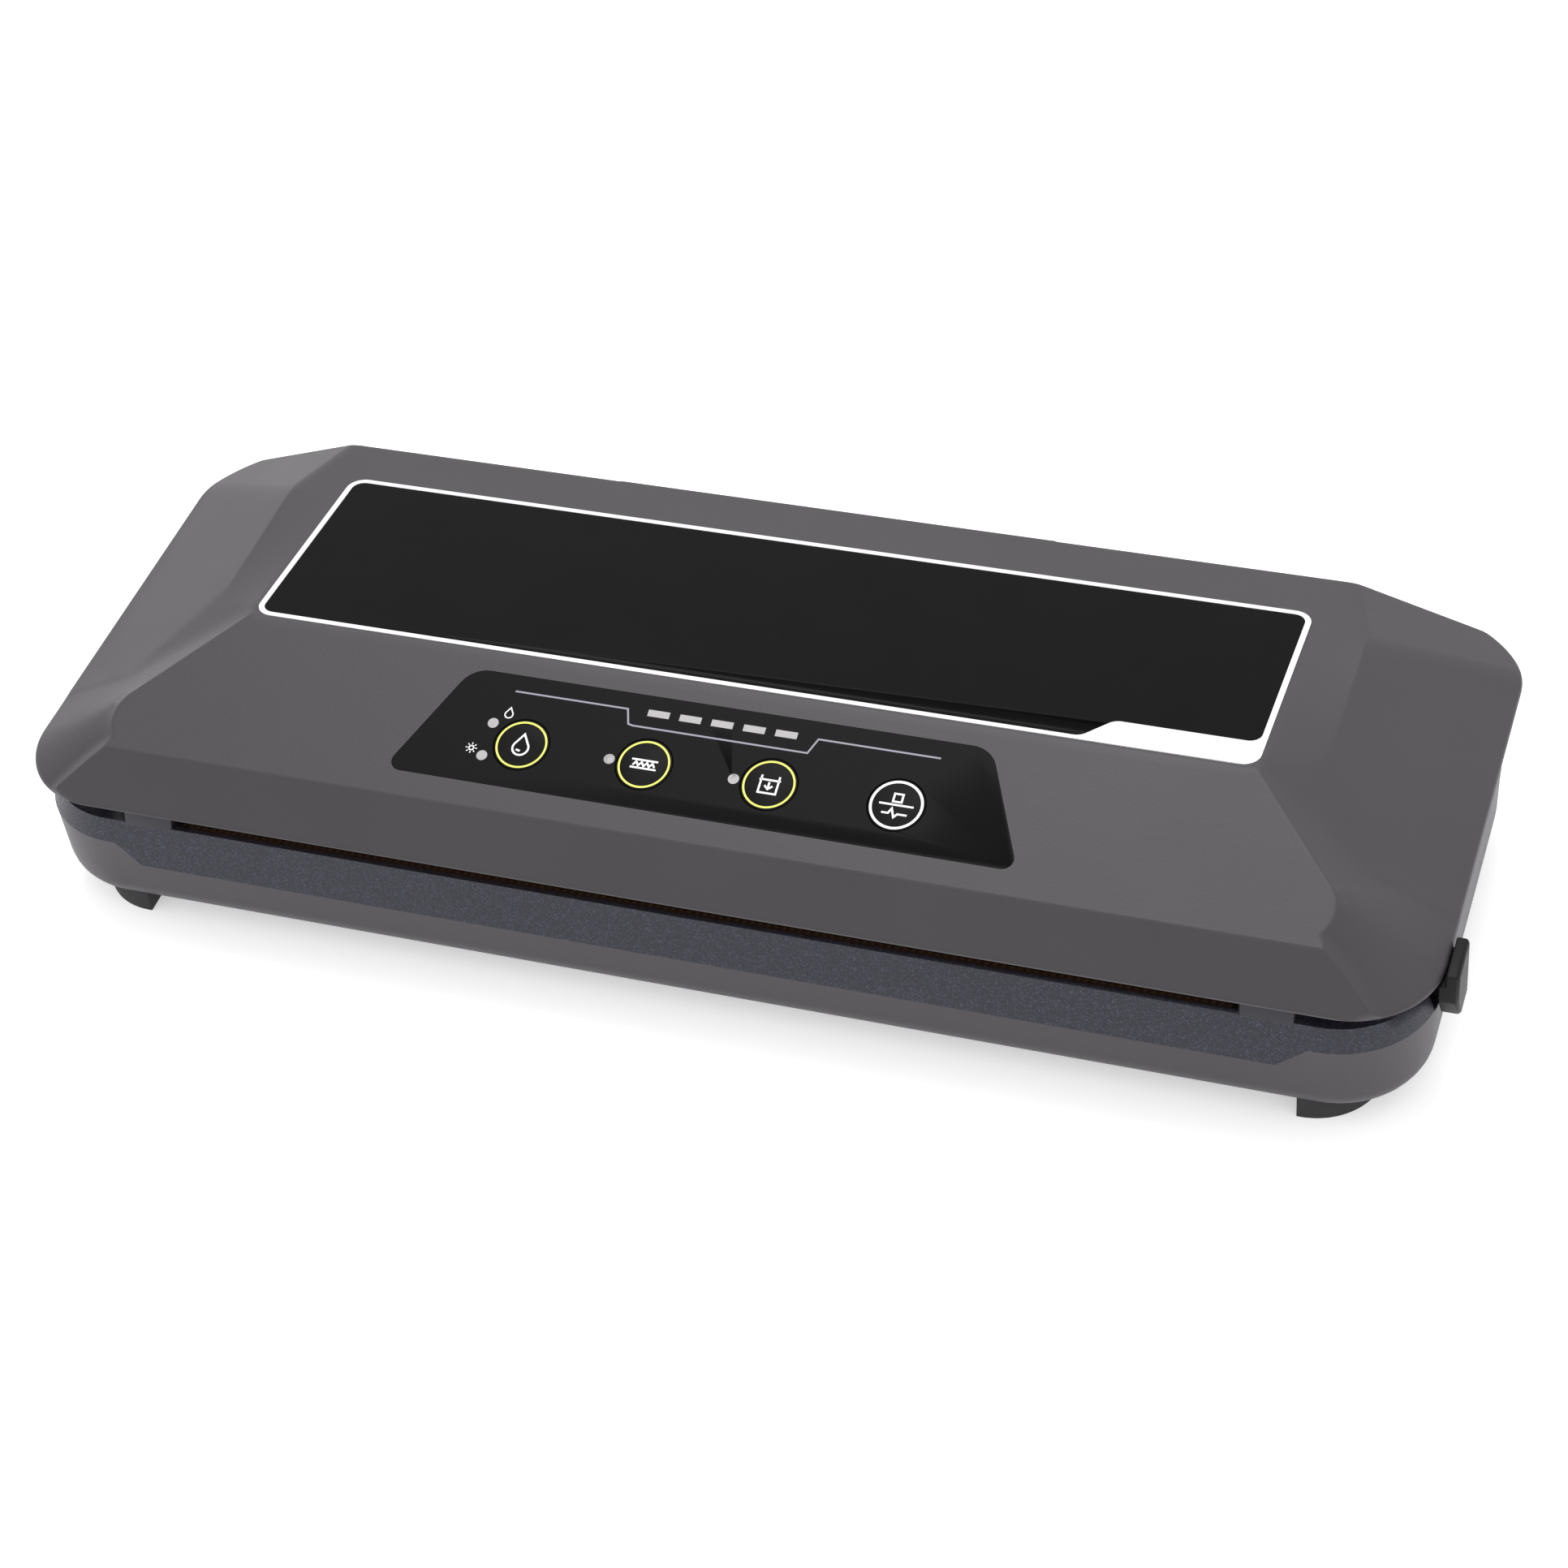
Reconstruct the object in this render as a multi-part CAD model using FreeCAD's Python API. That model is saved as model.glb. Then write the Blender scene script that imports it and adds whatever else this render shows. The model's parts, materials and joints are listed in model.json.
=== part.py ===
import FreeCAD, Part
import math
import os
from FreeCAD import Placement, Rotation, Vector

# Countertop vacuum packing machine: a base with a bag slot, seal bar and vacuum trough,
# a lid on two rear hinges with a control panel, and a latch that locks the lid.
# Millimetres, +Z up, +X to the right seen from the front, the front faces -Y.
# The origin lies on the table under the middle of the machine.

# ---- overall sizes -----------------------------------------------------------------
LID_WIDTH = 389.6            # across the lid rim
LID_DEPTH = 148.0            # front to rear across the lid rim
LID_FRONT_Y = -73.5          # lower front edge of the lid
LID_OVERHANG = 1.8           # lid rim beyond the base, each side
REAR_OVERHANG = 11.0         # lid beyond the base at the back
FOOT_HEIGHT = 5.0
SPLIT_Z = 29.0               # shell below, deck above
DECK_RISE = 7.0              # from the split line to the bag lip and deck rim
SLOT_OPENING = 6.0           # from the deck to the underside of the closed lid
LID_HEIGHT = 27.94           # from the underside of the lid to its ridge

# ---- walls and clearances ----------------------------------------------------------
SHELL_WALL = 2.5
DECK_WALL = 2.2
LID_WALL = 2.4
LINER_WALL = 2.0
LINER_PAD = 2.4              # extra height of the liner under its screws
HOLDER_WALL = 1.4            # ribs that hold the pressure strip in the liner
HOLDER_DROP = 2.0            # those ribs below the lid's underside
HOLDER_ROOF = 0.8            # liner left above the pressure strip
STRIP_FRONT = 2.0            # pressure strip behind the front wall of the seal channel
STRIP_REAR = 1.2             # pressure strip in front of the channel's rear wall
MOVE_GAP = 0.3               # between parts of different bodies
SEAM_GAP = 0.15              # visible joint line between parts of one body
PIN_FIT = 0.05               # radial clearance of a turning pin
SEAL_GAP = 0.02              # closed valve plunger to its seat
FIT_GAP = 0.1                # a part that drops into its seat
HOLE_GAP = 0.25              # radial clearance of a screw hole
HEAD_GAP = 0.3               # radial clearance round a screw head
SLOT_GAP = 1.0               # opening round a moving latch part
PASS = 1.0                   # how far a cutter runs past a face, or a joined piece into one

# ---- base shell --------------------------------------------------------------------
SHELL_DRAFT = 0.044          # wall slope, mm per mm of height
SHELL_BOTTOM_R = 8.5
BASE_CORNER_R = 26.0
LIP_SLOPE = 0.28             # lean of the front face and the deck rim, mm per mm
LIP_DROP = 5.5               # lip below the split line
LIP_BEHIND = 2.4             # top edge of the lip behind the front of the lid
LIP_MARGIN = 10.0            # lip's lower edge beyond the bag slot, each side
LIP_CHEVRON = 7.8            # width of the slanted end of the lip
LIP_THICK = 2.6
LIP_REACH = 5.0              # cutters for the lip, in front of the base
LIP_SINK = 4.0               # cutters for the lip, into the base

# ---- bag slot, seal bar and vacuum chamber -------------------------------------------
SLOT_HALF = 147.0            # half the widest bag
STOP_LENGTH = 14.0           # bag stop blocks at both slot ends
STOP_DEPTH = 10.0
BAR_END_GAP = 1.0            # seal bar short of the bag slot, each side
BAR_DROP = 0.7               # top of the seal bar below the deck
BAR_WALL = 2.0               # deck wall round the seal channel
LIP_LAND = 1.5               # flat land between the lip edge and the seal channel
CHANNEL_DEPTH = 8.0
BAR_WIDTH = 8.8
ELEMENT_WIDTH = 2.4
ELEMENT_THICK = 0.2
ELEMENT_END = 4.0            # heating strip short of the seal bar, each side
TAPE_THICK = 0.5
GASKET_WIDTH = 4.6
GASKET_HEIGHT = 3.7
GASKET_SEAT = 1.0            # depth of the gasket grooves
CHAMBER_FRONT_GAP = 1.6      # from the seal channel to the gasket ring
CHAMBER_MARGIN = 1.3         # outside of the gasket ring beyond the bag slot, each side
CHAMBER_DEPTH = 36.6         # gasket ring, front to rear
CHAMBER_R = 12.0
TROUGH_DEPTH = 12.0
TROUGH_R = 7.0
TROUGH_WALL = 2.0
TROUGH_EDGE = 1.2            # from the gasket to the trough, front and rear
TROUGH_END = 3.2             # from the gasket to the trough, each side
PLATEAU_RISE = 5.2           # raised deck behind and beside the chamber
PLATEAU_INSET = 7.0
PLATEAU_GAP = 3.4            # flat margin between gasket and plateau
PLATEAU_BACK = 11.1          # from the lip edge to the front of the plateau
PLATEAU_R = 14.0
PLATEAU_REAR_GAP = 1.5       # plateau in front of the deck's rear edge

# ---- feet ----------------------------------------------------------------------------
FOOT_LENGTH = 19.0
FOOT_DEPTH = 24.0
FOOT_INSET = 12.5
FOOT_FRONT_INSET = 3.6
FOOT_R = 18.0
FOOT_SEAT = 4.0              # foot's reach up the rounded lower edge of the base
FOOT_DIMPLE_R = 4.0

# ---- lid faces -----------------------------------------------------------------------
CONTROL_DEPTH = 54.6         # from the lid's front to the ridge above the control face
TOP_SLOPE = 0.0968           # top face falls to the rear
CONTROL_SLOPE = 0.319        # control face falls to the front
FRONT_FACE_DEPTH = 9.9       # from the lid's front to the crease under the control face
REAR_FACE_DEPTH = 6.0        # from the lid's rear to the rear crest
RIM_THICK = 1.7              # height of the thin lid rim
LID_FRONT_R = 24.5
LID_REAR_R = 20.0
CREST_OUT = 15.6             # side crest line, outwards from the top panel
CREST_DROP = 5.8             # side crest line below the front corner of the top panel
REAR_CREST_OUT = 11.3        # rear crest ends here, outwards from the top panel
REAR_CREST_DROP = 1.9        # drop of the rear crest's end below the top face
REAR_CORNER_FALL_X = 0.412   # rear corner face, fall per mm outwards
REAR_CORNER_FALL_Y = 0.222   # rear corner face, fall per mm rearwards
CONTROL_CORNER_OUT = 40.5    # sharp front corner of the control face, outwards from the top panel
CONTROL_CORNER_R = 10.35
CORNER_FACES = 6             # flat faces that follow each rounded front corner

# ---- top panel and control overlay -----------------------------------------------------
PANEL_WIDTH = 279.4
PANEL_LENGTH = 69.0
PANEL_FRONT_GAP = 1.0        # from the ridge to the panel frame
PANEL_R = 5.0
PANEL_THICK = 1.2
FRAME_BORDER = 1.6
FRAME_PROUD = 0.15
TAB_LENGTH = 38.0            # wide part of the frame at its front right
TAB_WIDTH = 10.0
TAB_SLANT = 7.0
OVERLAY_FRONT_GAP = 7.3      # from the front crease to the overlay
OVERLAY_FRONT_HALF = 86.9
OVERLAY_REAR_HALF = 71.95
OVERLAY_LENGTH = 33.5
OVERLAY_FRONT_R = 3.0
OVERLAY_REAR_R = 8.0
OVERLAY_THICK = 0.8

# ---- buttons, lamps and control board ----------------------------------------------------
BUTTON_PITCH = 34.45
BUTTON_V = 13.1              # up the control face from the overlay's front edge
BUTTON_R = 7.6
BUTTON_GAP = 0.25
BUTTON_TRAVEL = 0.5
BUTTON_FLANGE = 0.9          # retaining flange outside the cap radius
FLANGE_THICK = 0.9
BUTTON_STEM_R = 2.2
SWITCH_SIZE = 6.0
SWITCH_HEIGHT = 3.5
LENS_R = 1.5
LENS_GAP = 2.1               # from a button's edge to the middle of the lamp on its left
LENS_BUTTON = (0, 0, 1, 2)   # the button that each round lamp belongs to
LENS_RISE = (5.1, -4.9, 0, 0)   # lamp above the middle of its button
BAR_LENS_LENGTH = 6.0
BAR_LENS_HEIGHT = 2.0
BAR_LENS_PITCH = 8.85
BAR_LENS_V = 28.4
LED_GAP = 0.4
BOARD_THICK = 1.6
CONTROL_BOARD_DEPTH = 10.6   # top of the board below the control face
CONTROL_BOARD_HALF = 78.0
CONTROL_BOARD_LENGTH = 31.0

# ---- hinges --------------------------------------------------------------------------
HINGE_INSET = 1.5            # hinge axis in front of the base's rear edge
HINGE_DROP = 1.0             # hinge axis below the lid's underside
HINGE_X = 130.0
HINGE_PIN_R = 2.0
HINGE_HUB_R = 4.5
HINGE_LUG = 11.4
HINGE_EAR = 6.0
LUG_DEPTH = 7.0
LUG_NOTCH_GAP = 0.6          # notch in the shell round a hinge lug
HINGE_NOTCH_FRONT = 7.0
HINGE_NOTCH_REAR = 9.0

# ---- latch ---------------------------------------------------------------------------
LATCH_BACK = 25.1            # latch axis behind the lip edge
LATCH_RISE = 6.5             # latch axis above the shell floor
LATCH_R = 2.5
LATCH_SWING = 9.0            # degrees from released to locked
ARM_GAP = 4.0                # from the bag stop to the middle of the hook arm
ARM_THICK = 5.0
ARM_DEPTH = 5.0
HOOK_RISE = 6.6              # underside of the hook above the lid's underside
HOOK_THICK = 3.4
HOOK_REACH = 3.5
STEM_HEIGHT = 3.5
STEM_RISE = 2.2              # lever stem above the split line
TAB_THICK = 5.2
TAB_GAP = 0.6
TAB_FRONT = 9.5              # lever tab in front of the latch axis
TAB_REAR = 5.0               # lever tab behind the latch axis
TAB_RISE = 3.0               # lever tab above the lid's underside
TAB_DROP = 2.5               # lever tab below the split line
TAB_CHAMFER_Y = 5.5
TAB_CHAMFER_Z = 9.4
TAB_EDGE_R = 1.2
LATCH_RIB_X = 118.0
LATCH_RIB = 4.0
LATCH_RIB_HALF = 6.0
LATCH_RIB_RISE = 5.0         # top of the bearing ribs above the latch axis

# ---- pump, valve, board and inlet ----------------------------------------------------
MOTOR_X = -74.0
MOTOR_LENGTH = 42.0
MOTOR_Y = 18.0
MOTOR_RISE = 16.5            # motor axis above the shell floor
MOTOR_R = 12.0
CRADLE_THICK = 4.0
CRADLE_HALF = 9.0
CRADLE_DROP = 4.0            # top of the motor cradles below the motor axis
CRADLE_INSETS = (6.0, 34.0)  # cradles along the motor
SHAFT_R = 1.5
ECC_OFFSET = 1.5
ECC_R = 4.0
ECC_LENGTH = 8.0
HEAD_LENGTH = 30.0
HEAD_HEIGHT = 27.0
HEAD_WALL = 2.5
ROD_R = 2.5
ROD_RING = 2.2
ROD_STROKE = 1.5
DIAPHRAGM_R = 10.0
DIAPHRAGM_THICK = 1.0
COVER_DEPTH = 8.0
BARB_R = 2.5
HOSE_WALL = 1.5
HOSE_X = 40.0
HOSE_BEND_R = 15.0
HOSE_RISE = 2.0              # hose above the motor axis
PORT_LENGTH = 8.0
VALVE_X = 80.0
VALVE_R = 6.5
VALVE_LENGTH = 20.0
VALVE_TRAVEL = 1.5
VALVE_GAP = 4.0              # from the chamber to the valve coil, and the barb's root
SEAT_R = 4.0
SEAT_BORE_R = 1.2
BARB_WALL = 1.0
PLUNGER_R = 3.0
BOARD_X = 98.0
BOARD_LENGTH = 66.0
BOARD_Y = -6.0
BOARD_WIDTH = 48.0
BOARD_RISE = 5.5             # power board above the shell floor
BOARD_SCREW_INSET = 5.0
TRAFO_LENGTH = 34.0
TRAFO_WIDTH = 30.0
TRAFO_HEIGHT = 21.0
TRAFO_LIMB = 5.5             # iron round the winding windows
TRAFO_WINDOW = 4.0
INLET_X = -135.0
INLET_WIDTH = 20.0
INLET_HEIGHT = 12.0
INLET_DEPTH = 15.0
INLET_RIM = 2.0
INLET_RISE = 9.5             # middle of the inlet above the shell floor

# ---- screws --------------------------------------------------------------------------
SCREW_R = 1.5
SCREW_GRIP = 0.05            # screw thread to pilot hole
SCREW_HEAD_R = 2.9
SCREW_HEAD = 2.0
SCREW_SEAT = 3.0             # housing screw heads sit this deep in the base
CROSS_HALF = 1.6             # half length of a cross recess
CROSS_WIDTH = 0.8
BOSS_R = 4.0
BOSS_HEIGHT = 10.5           # shell bosses above the floor; the deck bosses begin there
SCREW_BITE = 8.0             # housing screw's reach into the deck bosses
SCREW_ROOM = 0.5             # bore beyond the tip of a housing screw
LINER_SCREW = 9.0            # reach of the liner screws above the liner
SCREW_SINK = 0.4             # liner screw heads behind the liner's face


# ---- shape helpers -------------------------------------------------------------------
def box(x0, x1, y0, y1, z0, z1):
    """Box between two corners."""
    return Part.makeBox(x1 - x0, y1 - y0, z1 - z0, Vector(x0, y0, z0))


def rod(start, along, radius, length):
    """Cylinder from a start point along a direction."""
    return Part.makeCylinder(radius, length, Vector(*start), Vector(*along))


def rounded_wire(points, radii, z):
    """Closed outline at height z; every corner gets its own radius."""
    count = len(points)
    edges = []
    ends = []
    for i in range(count):
        here = Vector(points[i][0], points[i][1], z)
        before = Vector(points[i - 1][0], points[i - 1][1], z)
        after = Vector(points[(i + 1) % count][0], points[(i + 1) % count][1], z)
        to_before = (before - here).normalize()
        to_after = (after - here).normalize()
        half = to_before.getAngle(to_after) / 2
        back = radii[i] / math.tan(half)
        inward = (to_before + to_after).normalize()
        centre = here + inward * (radii[i] / math.sin(half))
        middle = centre - inward * radii[i]
        ends.append((here + to_before * back, middle, here + to_after * back))
    for i in range(count):
        start, middle, end = ends[i]
        if radii[i] > 0:
            edges.append(Part.Arc(start, middle, end).toShape())
        edges.append(Part.LineSegment(end, ends[(i + 1) % count][0]).toShape())
    return Part.Wire(edges)


def plate(points, radii, z0, z1):
    """Flat plate with rounded corners between two heights."""
    return Part.Face(rounded_wire(points, radii, z0)).extrude(Vector(0, 0, z1 - z0))


def rect(x_half, y0, y1):
    """Corner points of a rectangle that is centred in X."""
    return [(-x_half, y0), (x_half, y0), (x_half, y1), (-x_half, y1)]


def slab(x_half, y0, y1, radius, z0, z1):
    """Rounded rectangular slab that is centred in X."""
    return plate(rect(x_half, y0, y1), [radius] * 4, z0, z1)


def side_profile(points, x0, x1):
    """Closed YZ outline extruded from x0 to x1."""
    corners = [Vector(x0, y, z) for y, z in points]
    return Part.Face(Part.makePolygon(corners + corners[:1])).extrude(Vector(x1 - x0, 0, 0))


def front_profile(points, y0, y1):
    """Closed XZ outline extruded from y0 to y1."""
    corners = [Vector(x, y0, z) for x, z in points]
    return Part.Face(Part.makePolygon(corners + corners[:1])).extrude(Vector(0, y1 - y0, 0))


def mirrored(shape):
    """The same shape on the other side of the machine."""
    return shape.mirror(Vector(0, 0, 0), Vector(1, 0, 0))


def both(shape):
    """A shape and its mirror image."""
    return [shape, mirrored(shape)]


def cut_all(shape, tools):
    """Cuts every tool out of a shape."""
    return shape.cut(Part.makeCompound(tools))


def fuse_all(shape, more):
    """Joins more solids to a shape and cleans up the split faces."""
    return shape.multiFuse(more).removeSplitter()


def save(name, shapes):
    """Writes one node; several solids become one group."""
    solids = []
    for shape in shapes if isinstance(shapes, list) else [shapes]:
        solids += shape.Solids
    whole = solids[0] if len(solids) == 1 else Part.makeCompound(solids)
    whole.exportStep("parts/" + name + ".step")
    print(name, len(solids), "solids", round(whole.Volume, 1), "mm3", whole.isValid())


# ---- shared planes -------------------------------------------------------------------
LID_HALF = LID_WIDTH / 2
LID_REAR_Y = LID_FRONT_Y + LID_DEPTH
BASE_HALF = LID_HALF - LID_OVERHANG
BASE_REAR_Y = LID_REAR_Y - REAR_OVERHANG
DECK_Z = SPLIT_Z + DECK_RISE
RIM_Z = DECK_Z + SLOT_OPENING                      # underside of the closed lid
RIM_FACE_Z = RIM_Z + RIM_THICK
RIDGE_Y = LID_FRONT_Y + CONTROL_DEPTH
RIDGE_Z = RIM_Z + LID_HEIGHT
FRONT_CREASE_Y = LID_FRONT_Y + FRONT_FACE_DEPTH
REAR_CREST_Y = LID_REAR_Y - REAR_FACE_DEPTH
LIP_Y = LID_FRONT_Y + LIP_BEHIND                   # top edge of the lip
LIP_BOTTOM_Z = SPLIT_Z - LIP_DROP
LIP_HALF = SLOT_HALF + LIP_MARGIN                  # half length of the lip's lower edge
DECK_INSET = LIP_SLOPE * DECK_RISE
DECK_FRONT_Y = LIP_Y - DECK_INSET
PLATEAU_Z = DECK_Z + PLATEAU_RISE
PLATEAU_FRONT_Y = LIP_Y + PLATEAU_BACK
FLOOR_Z = FOOT_HEIGHT + SHELL_WALL
LINER_Z = RIM_Z + 2 * FIT_GAP
LINER_TOP_Z = LINER_Z + LINER_WALL
CHANNEL_Y = LIP_Y + LIP_LAND                       # front wall of the seal channel
CHANNEL_END_Y = CHANNEL_Y + BAR_WIDTH + 2 * FIT_GAP
BAR_HALF = SLOT_HALF - BAR_END_GAP
BAR_TOP_Z = DECK_Z - BAR_DROP
TAPE_TOP_Z = BAR_TOP_Z + TAPE_THICK
CHAMBER_HALF = SLOT_HALF + CHAMBER_MARGIN
CHAMBER_FRONT_Y = CHANNEL_END_Y + CHAMBER_FRONT_GAP
CHAMBER_REAR_Y = CHAMBER_FRONT_Y + CHAMBER_DEPTH
TOP_TILT = -math.degrees(math.atan(TOP_SLOPE))
CONTROL_TILT = math.degrees(math.atan(CONTROL_SLOPE))
OVERLAY_FRONT_Y = FRONT_CREASE_Y + OVERLAY_FRONT_GAP
OVERLAY_Z = RIDGE_Z + CONTROL_SLOPE * (OVERLAY_FRONT_Y - RIDGE_Y)
PANEL_HALF = PANEL_WIDTH / 2
PANEL_Y = RIDGE_Y + PANEL_FRONT_GAP
PANEL_Z = RIDGE_Z - TOP_SLOPE * PANEL_FRONT_GAP
BUTTON_XS = [BUTTON_PITCH * (i - 1.5) for i in range(4)]
HINGE_Y = BASE_REAR_Y - HINGE_INSET
HINGE_Z = RIM_Z - HINGE_DROP
LATCH_Y = LIP_Y + LATCH_BACK
LATCH_Z = FLOOR_Z + LATCH_RISE
ARM_X = SLOT_HALF + STOP_LENGTH + ARM_GAP
HOOK_Z = RIM_Z + HOOK_RISE
STEM_Z = SPLIT_Z + STEM_RISE
TAB_TOP_Z = RIM_Z + TAB_RISE
MOTOR_Z = FLOOR_Z + MOTOR_RISE
HOSE_Z = MOTOR_Z + HOSE_RISE
BOARD_Z = FLOOR_Z + BOARD_RISE
INLET_Z = FLOOR_Z + INLET_RISE
BOSS_TOP = FLOOR_Z + BOSS_HEIGHT
SCREW_SPOTS = [
    (BASE_HALF - 17, DECK_FRONT_Y + 15),
    (BASE_HALF - 17, BASE_REAR_Y - 18),
    (62, LIP_Y + 14),
    (46, BASE_REAR_Y - 15),
]


def on_top(shape):
    """Moves a shape drawn on a flat sheet onto the top face, v running to the rear."""
    shape.Placement = Placement(Vector(0, PANEL_Y, PANEL_Z), Rotation(Vector(1, 0, 0), TOP_TILT))
    return shape


def on_control(shape):
    """Moves a shape drawn on a flat sheet onto the control face, v running up it."""
    shape.Placement = Placement(
        Vector(0, OVERLAY_FRONT_Y, OVERLAY_Z), Rotation(Vector(1, 0, 0), CONTROL_TILT)
    )
    return shape


# ---- lid outline ---------------------------------------------------------------------
def below(point, fall_x, fall_y, offset):
    """Everything under a sloping plane through a point, lowered by offset along its normal."""
    normal = Vector(fall_x, fall_y, 1).normalize()
    base = Vector(*point) - normal * offset
    size = 3 * LID_WIDTH
    block = Part.makeBox(size, size, size, Vector(-size / 2, -size / 2, -size))
    block.Placement = Placement(base, Rotation(Vector(0, 0, 1), normal))
    return block


def top_z(y):
    """Height of the top face."""
    return RIDGE_Z - TOP_SLOPE * (y - RIDGE_Y)


def control_z(y):
    """Height of the control face."""
    return RIDGE_Z + CONTROL_SLOPE * (y - RIDGE_Y)


def side_planes():
    """Side and rear corner faces of the right half: a point, fall outwards, fall rearwards."""
    crest_half = PANEL_HALF + CREST_OUT
    crest_z = top_z(PANEL_Y) - CREST_DROP
    side_fall = (crest_z - RIM_FACE_Z) / (LID_HALF - crest_half)
    rear_z = top_z(REAR_CREST_Y) - REAR_CREST_DROP
    rear_corner = (PANEL_HALF + REAR_CREST_OUT, REAR_CREST_Y, rear_z)
    return [
        ((PANEL_HALF, PANEL_Y, top_z(PANEL_Y)), CREST_DROP / CREST_OUT, 0),
        ((crest_half, 0, crest_z), side_fall, 0),
        (rear_corner, REAR_CORNER_FALL_X, REAR_CORNER_FALL_Y),
    ]


def corner_planes():
    """Faces that fan out from the rounded corner of the control face down to the rim."""
    sharp = Vector(PANEL_HALF + CONTROL_CORNER_OUT, FRONT_CREASE_Y, 0)
    edge = (Vector(PANEL_HALF, PANEL_Y, 0) - sharp).normalize()
    half = edge.getAngle(Vector(-1, 0, 0)) / 2
    inward = (edge + Vector(-1, 0, 0)).normalize()
    centre = sharp + inward * (CONTROL_CORNER_R / math.sin(half))
    rim_centre = Vector(LID_HALF - LID_FRONT_R, LID_FRONT_Y + LID_FRONT_R, 0)
    edge_angle = math.atan2(edge.y, edge.x) - math.pi / 2
    planes = []
    for i in range(1, CORNER_FACES + 1):
        angle = -math.pi / 2 + (edge_angle + math.pi / 2) * i / CORNER_FACES
        out = Vector(math.cos(angle), math.sin(angle), 0)
        along = Vector(-out.y, out.x, 0)
        start = centre + out * CONTROL_CORNER_R
        height = control_z(start.y)
        rim = rim_centre + out * LID_FRONT_R
        if angle > 0:
            rim = start + out * ((LID_HALF - start.x) / out.x)
        # the faces turn from level contours at the front to the slope of the diagonal edge
        tilt = CONTROL_SLOPE * along.y * (i / CORNER_FACES) ** 2
        fall = (height - RIM_FACE_Z + tilt * (rim - start).dot(along)) / (rim - start).dot(out)
        planes.append((
            (start.x, start.y, height), fall * out.x - tilt * along.x, fall * out.y - tilt * along.y
        ))
    return planes


def under_planes(body, planes, offset):
    """Part of a body that lies under every plane and under its mirror image."""
    for point, fall_x, fall_y in planes:
        body = body.common(below(point, fall_x, fall_y, offset))
        body = body.common(below((-point[0], point[1], point[2]), -fall_x, fall_y, offset))
    return body


def lid_block(offset, z_floor):
    """Solid under all lid faces, each lowered by offset, with the plan drawn in as much."""
    front_z = control_z(FRONT_CREASE_Y)
    crest_z = top_z(REAR_CREST_Y)
    front_rise = (front_z - RIM_Z) / FRONT_FACE_DEPTH
    rear_fall = (crest_z - RIM_FACE_Z) / REAR_FACE_DEPTH
    plan = plate(
        rect(LID_HALF - offset, LID_FRONT_Y + offset, LID_REAR_Y - offset),
        [LID_FRONT_R - offset, LID_FRONT_R - offset, LID_REAR_R - offset, LID_REAR_R - offset],
        z_floor, RIDGE_Z + 5,
    )
    plan = plan.common(below((0, RIDGE_Y, RIDGE_Z), 0, TOP_SLOPE, offset))
    plan = plan.common(below((0, RIDGE_Y, RIDGE_Z), 0, -CONTROL_SLOPE, offset))
    plan = plan.common(below((0, FRONT_CREASE_Y, front_z), 0, -front_rise, offset))
    plan = plan.common(below((0, REAR_CREST_Y, crest_z), 0, rear_fall, offset))
    side = under_planes(plan, side_planes(), offset)
    corner = under_planes(plan, corner_planes(), offset)
    return fuse_all(side, [corner])


# ---- base shell ----------------------------------------------------------------------
def base_block(offset):
    """Drafted tray with a rounded lower edge, drawn in by offset."""
    drop = SHELL_DRAFT * (SPLIT_Z - FOOT_HEIGHT)
    wires = []
    for z, inset in ((FOOT_HEIGHT + offset, drop + offset), (SPLIT_Z, offset)):
        corners = rect(BASE_HALF - inset, DECK_FRONT_Y + inset, BASE_REAR_Y - inset)
        wires.append(rounded_wire(corners, [BASE_CORNER_R - inset] * 4, z))
    tray = Part.makeLoft(wires, True, True)
    low = [e for e in tray.Edges if e.BoundBox.ZMax < FOOT_HEIGHT + offset + 0.01]
    return tray.makeFillet(SHELL_BOTTOM_R - offset, low)


def screw_spots():
    """Centres of all housing screws."""
    return [(sx * x, y) for x, y in SCREW_SPOTS for sx in (-1, 1)]


def lip_outline(grow):
    """Front view of the lip below the split line, with its slanted ends."""
    return [
        (-LIP_HALF - LIP_CHEVRON - grow, SPLIT_Z), (-LIP_HALF - grow, LIP_BOTTOM_Z - grow),
        (LIP_HALF + grow, LIP_BOTTOM_Z - grow), (LIP_HALF + LIP_CHEVRON + grow, SPLIT_Z),
    ]


def stem_slot():
    """Opening in the right wall for the lever's stem."""
    reach = math.radians(LATCH_SWING) * (STEM_Z - LATCH_Z)
    return box(
        ARM_X + ARM_THICK + STEM_HEIGHT, BASE_HALF + PASS,
        LATCH_Y - ARM_DEPTH / 2 - reach - SLOT_GAP, LATCH_Y + ARM_DEPTH / 2 + SLOT_GAP,
        STEM_Z - STEM_HEIGHT / 2 - SLOT_GAP, STEM_Z + STEM_HEIGHT / 2 + SLOT_GAP,
    )


def inlet_box(grow, y0, y1):
    """Rectangular prism around the power inlet."""
    half_w = INLET_WIDTH / 2 + grow
    half_h = INLET_HEIGHT / 2 + grow
    return box(INLET_X - half_w, INLET_X + half_w, y0, y1, INLET_Z - half_h, INLET_Z + half_h)


def inlet_rear_y():
    """Seat of the inlet's flange, let into the rear wall."""
    return BASE_REAR_Y - SHELL_DRAFT * (SPLIT_Z - INLET_Z + INLET_HEIGHT / 2)


def board_spots():
    """Centres of the power board's screws."""
    xs = (BOARD_X + BOARD_SCREW_INSET, BOARD_X + BOARD_LENGTH - BOARD_SCREW_INSET)
    ys = (BOARD_Y + BOARD_SCREW_INSET, BOARD_Y + BOARD_WIDTH - BOARD_SCREW_INSET)
    return [(x, y) for x in xs for y in ys]


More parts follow.
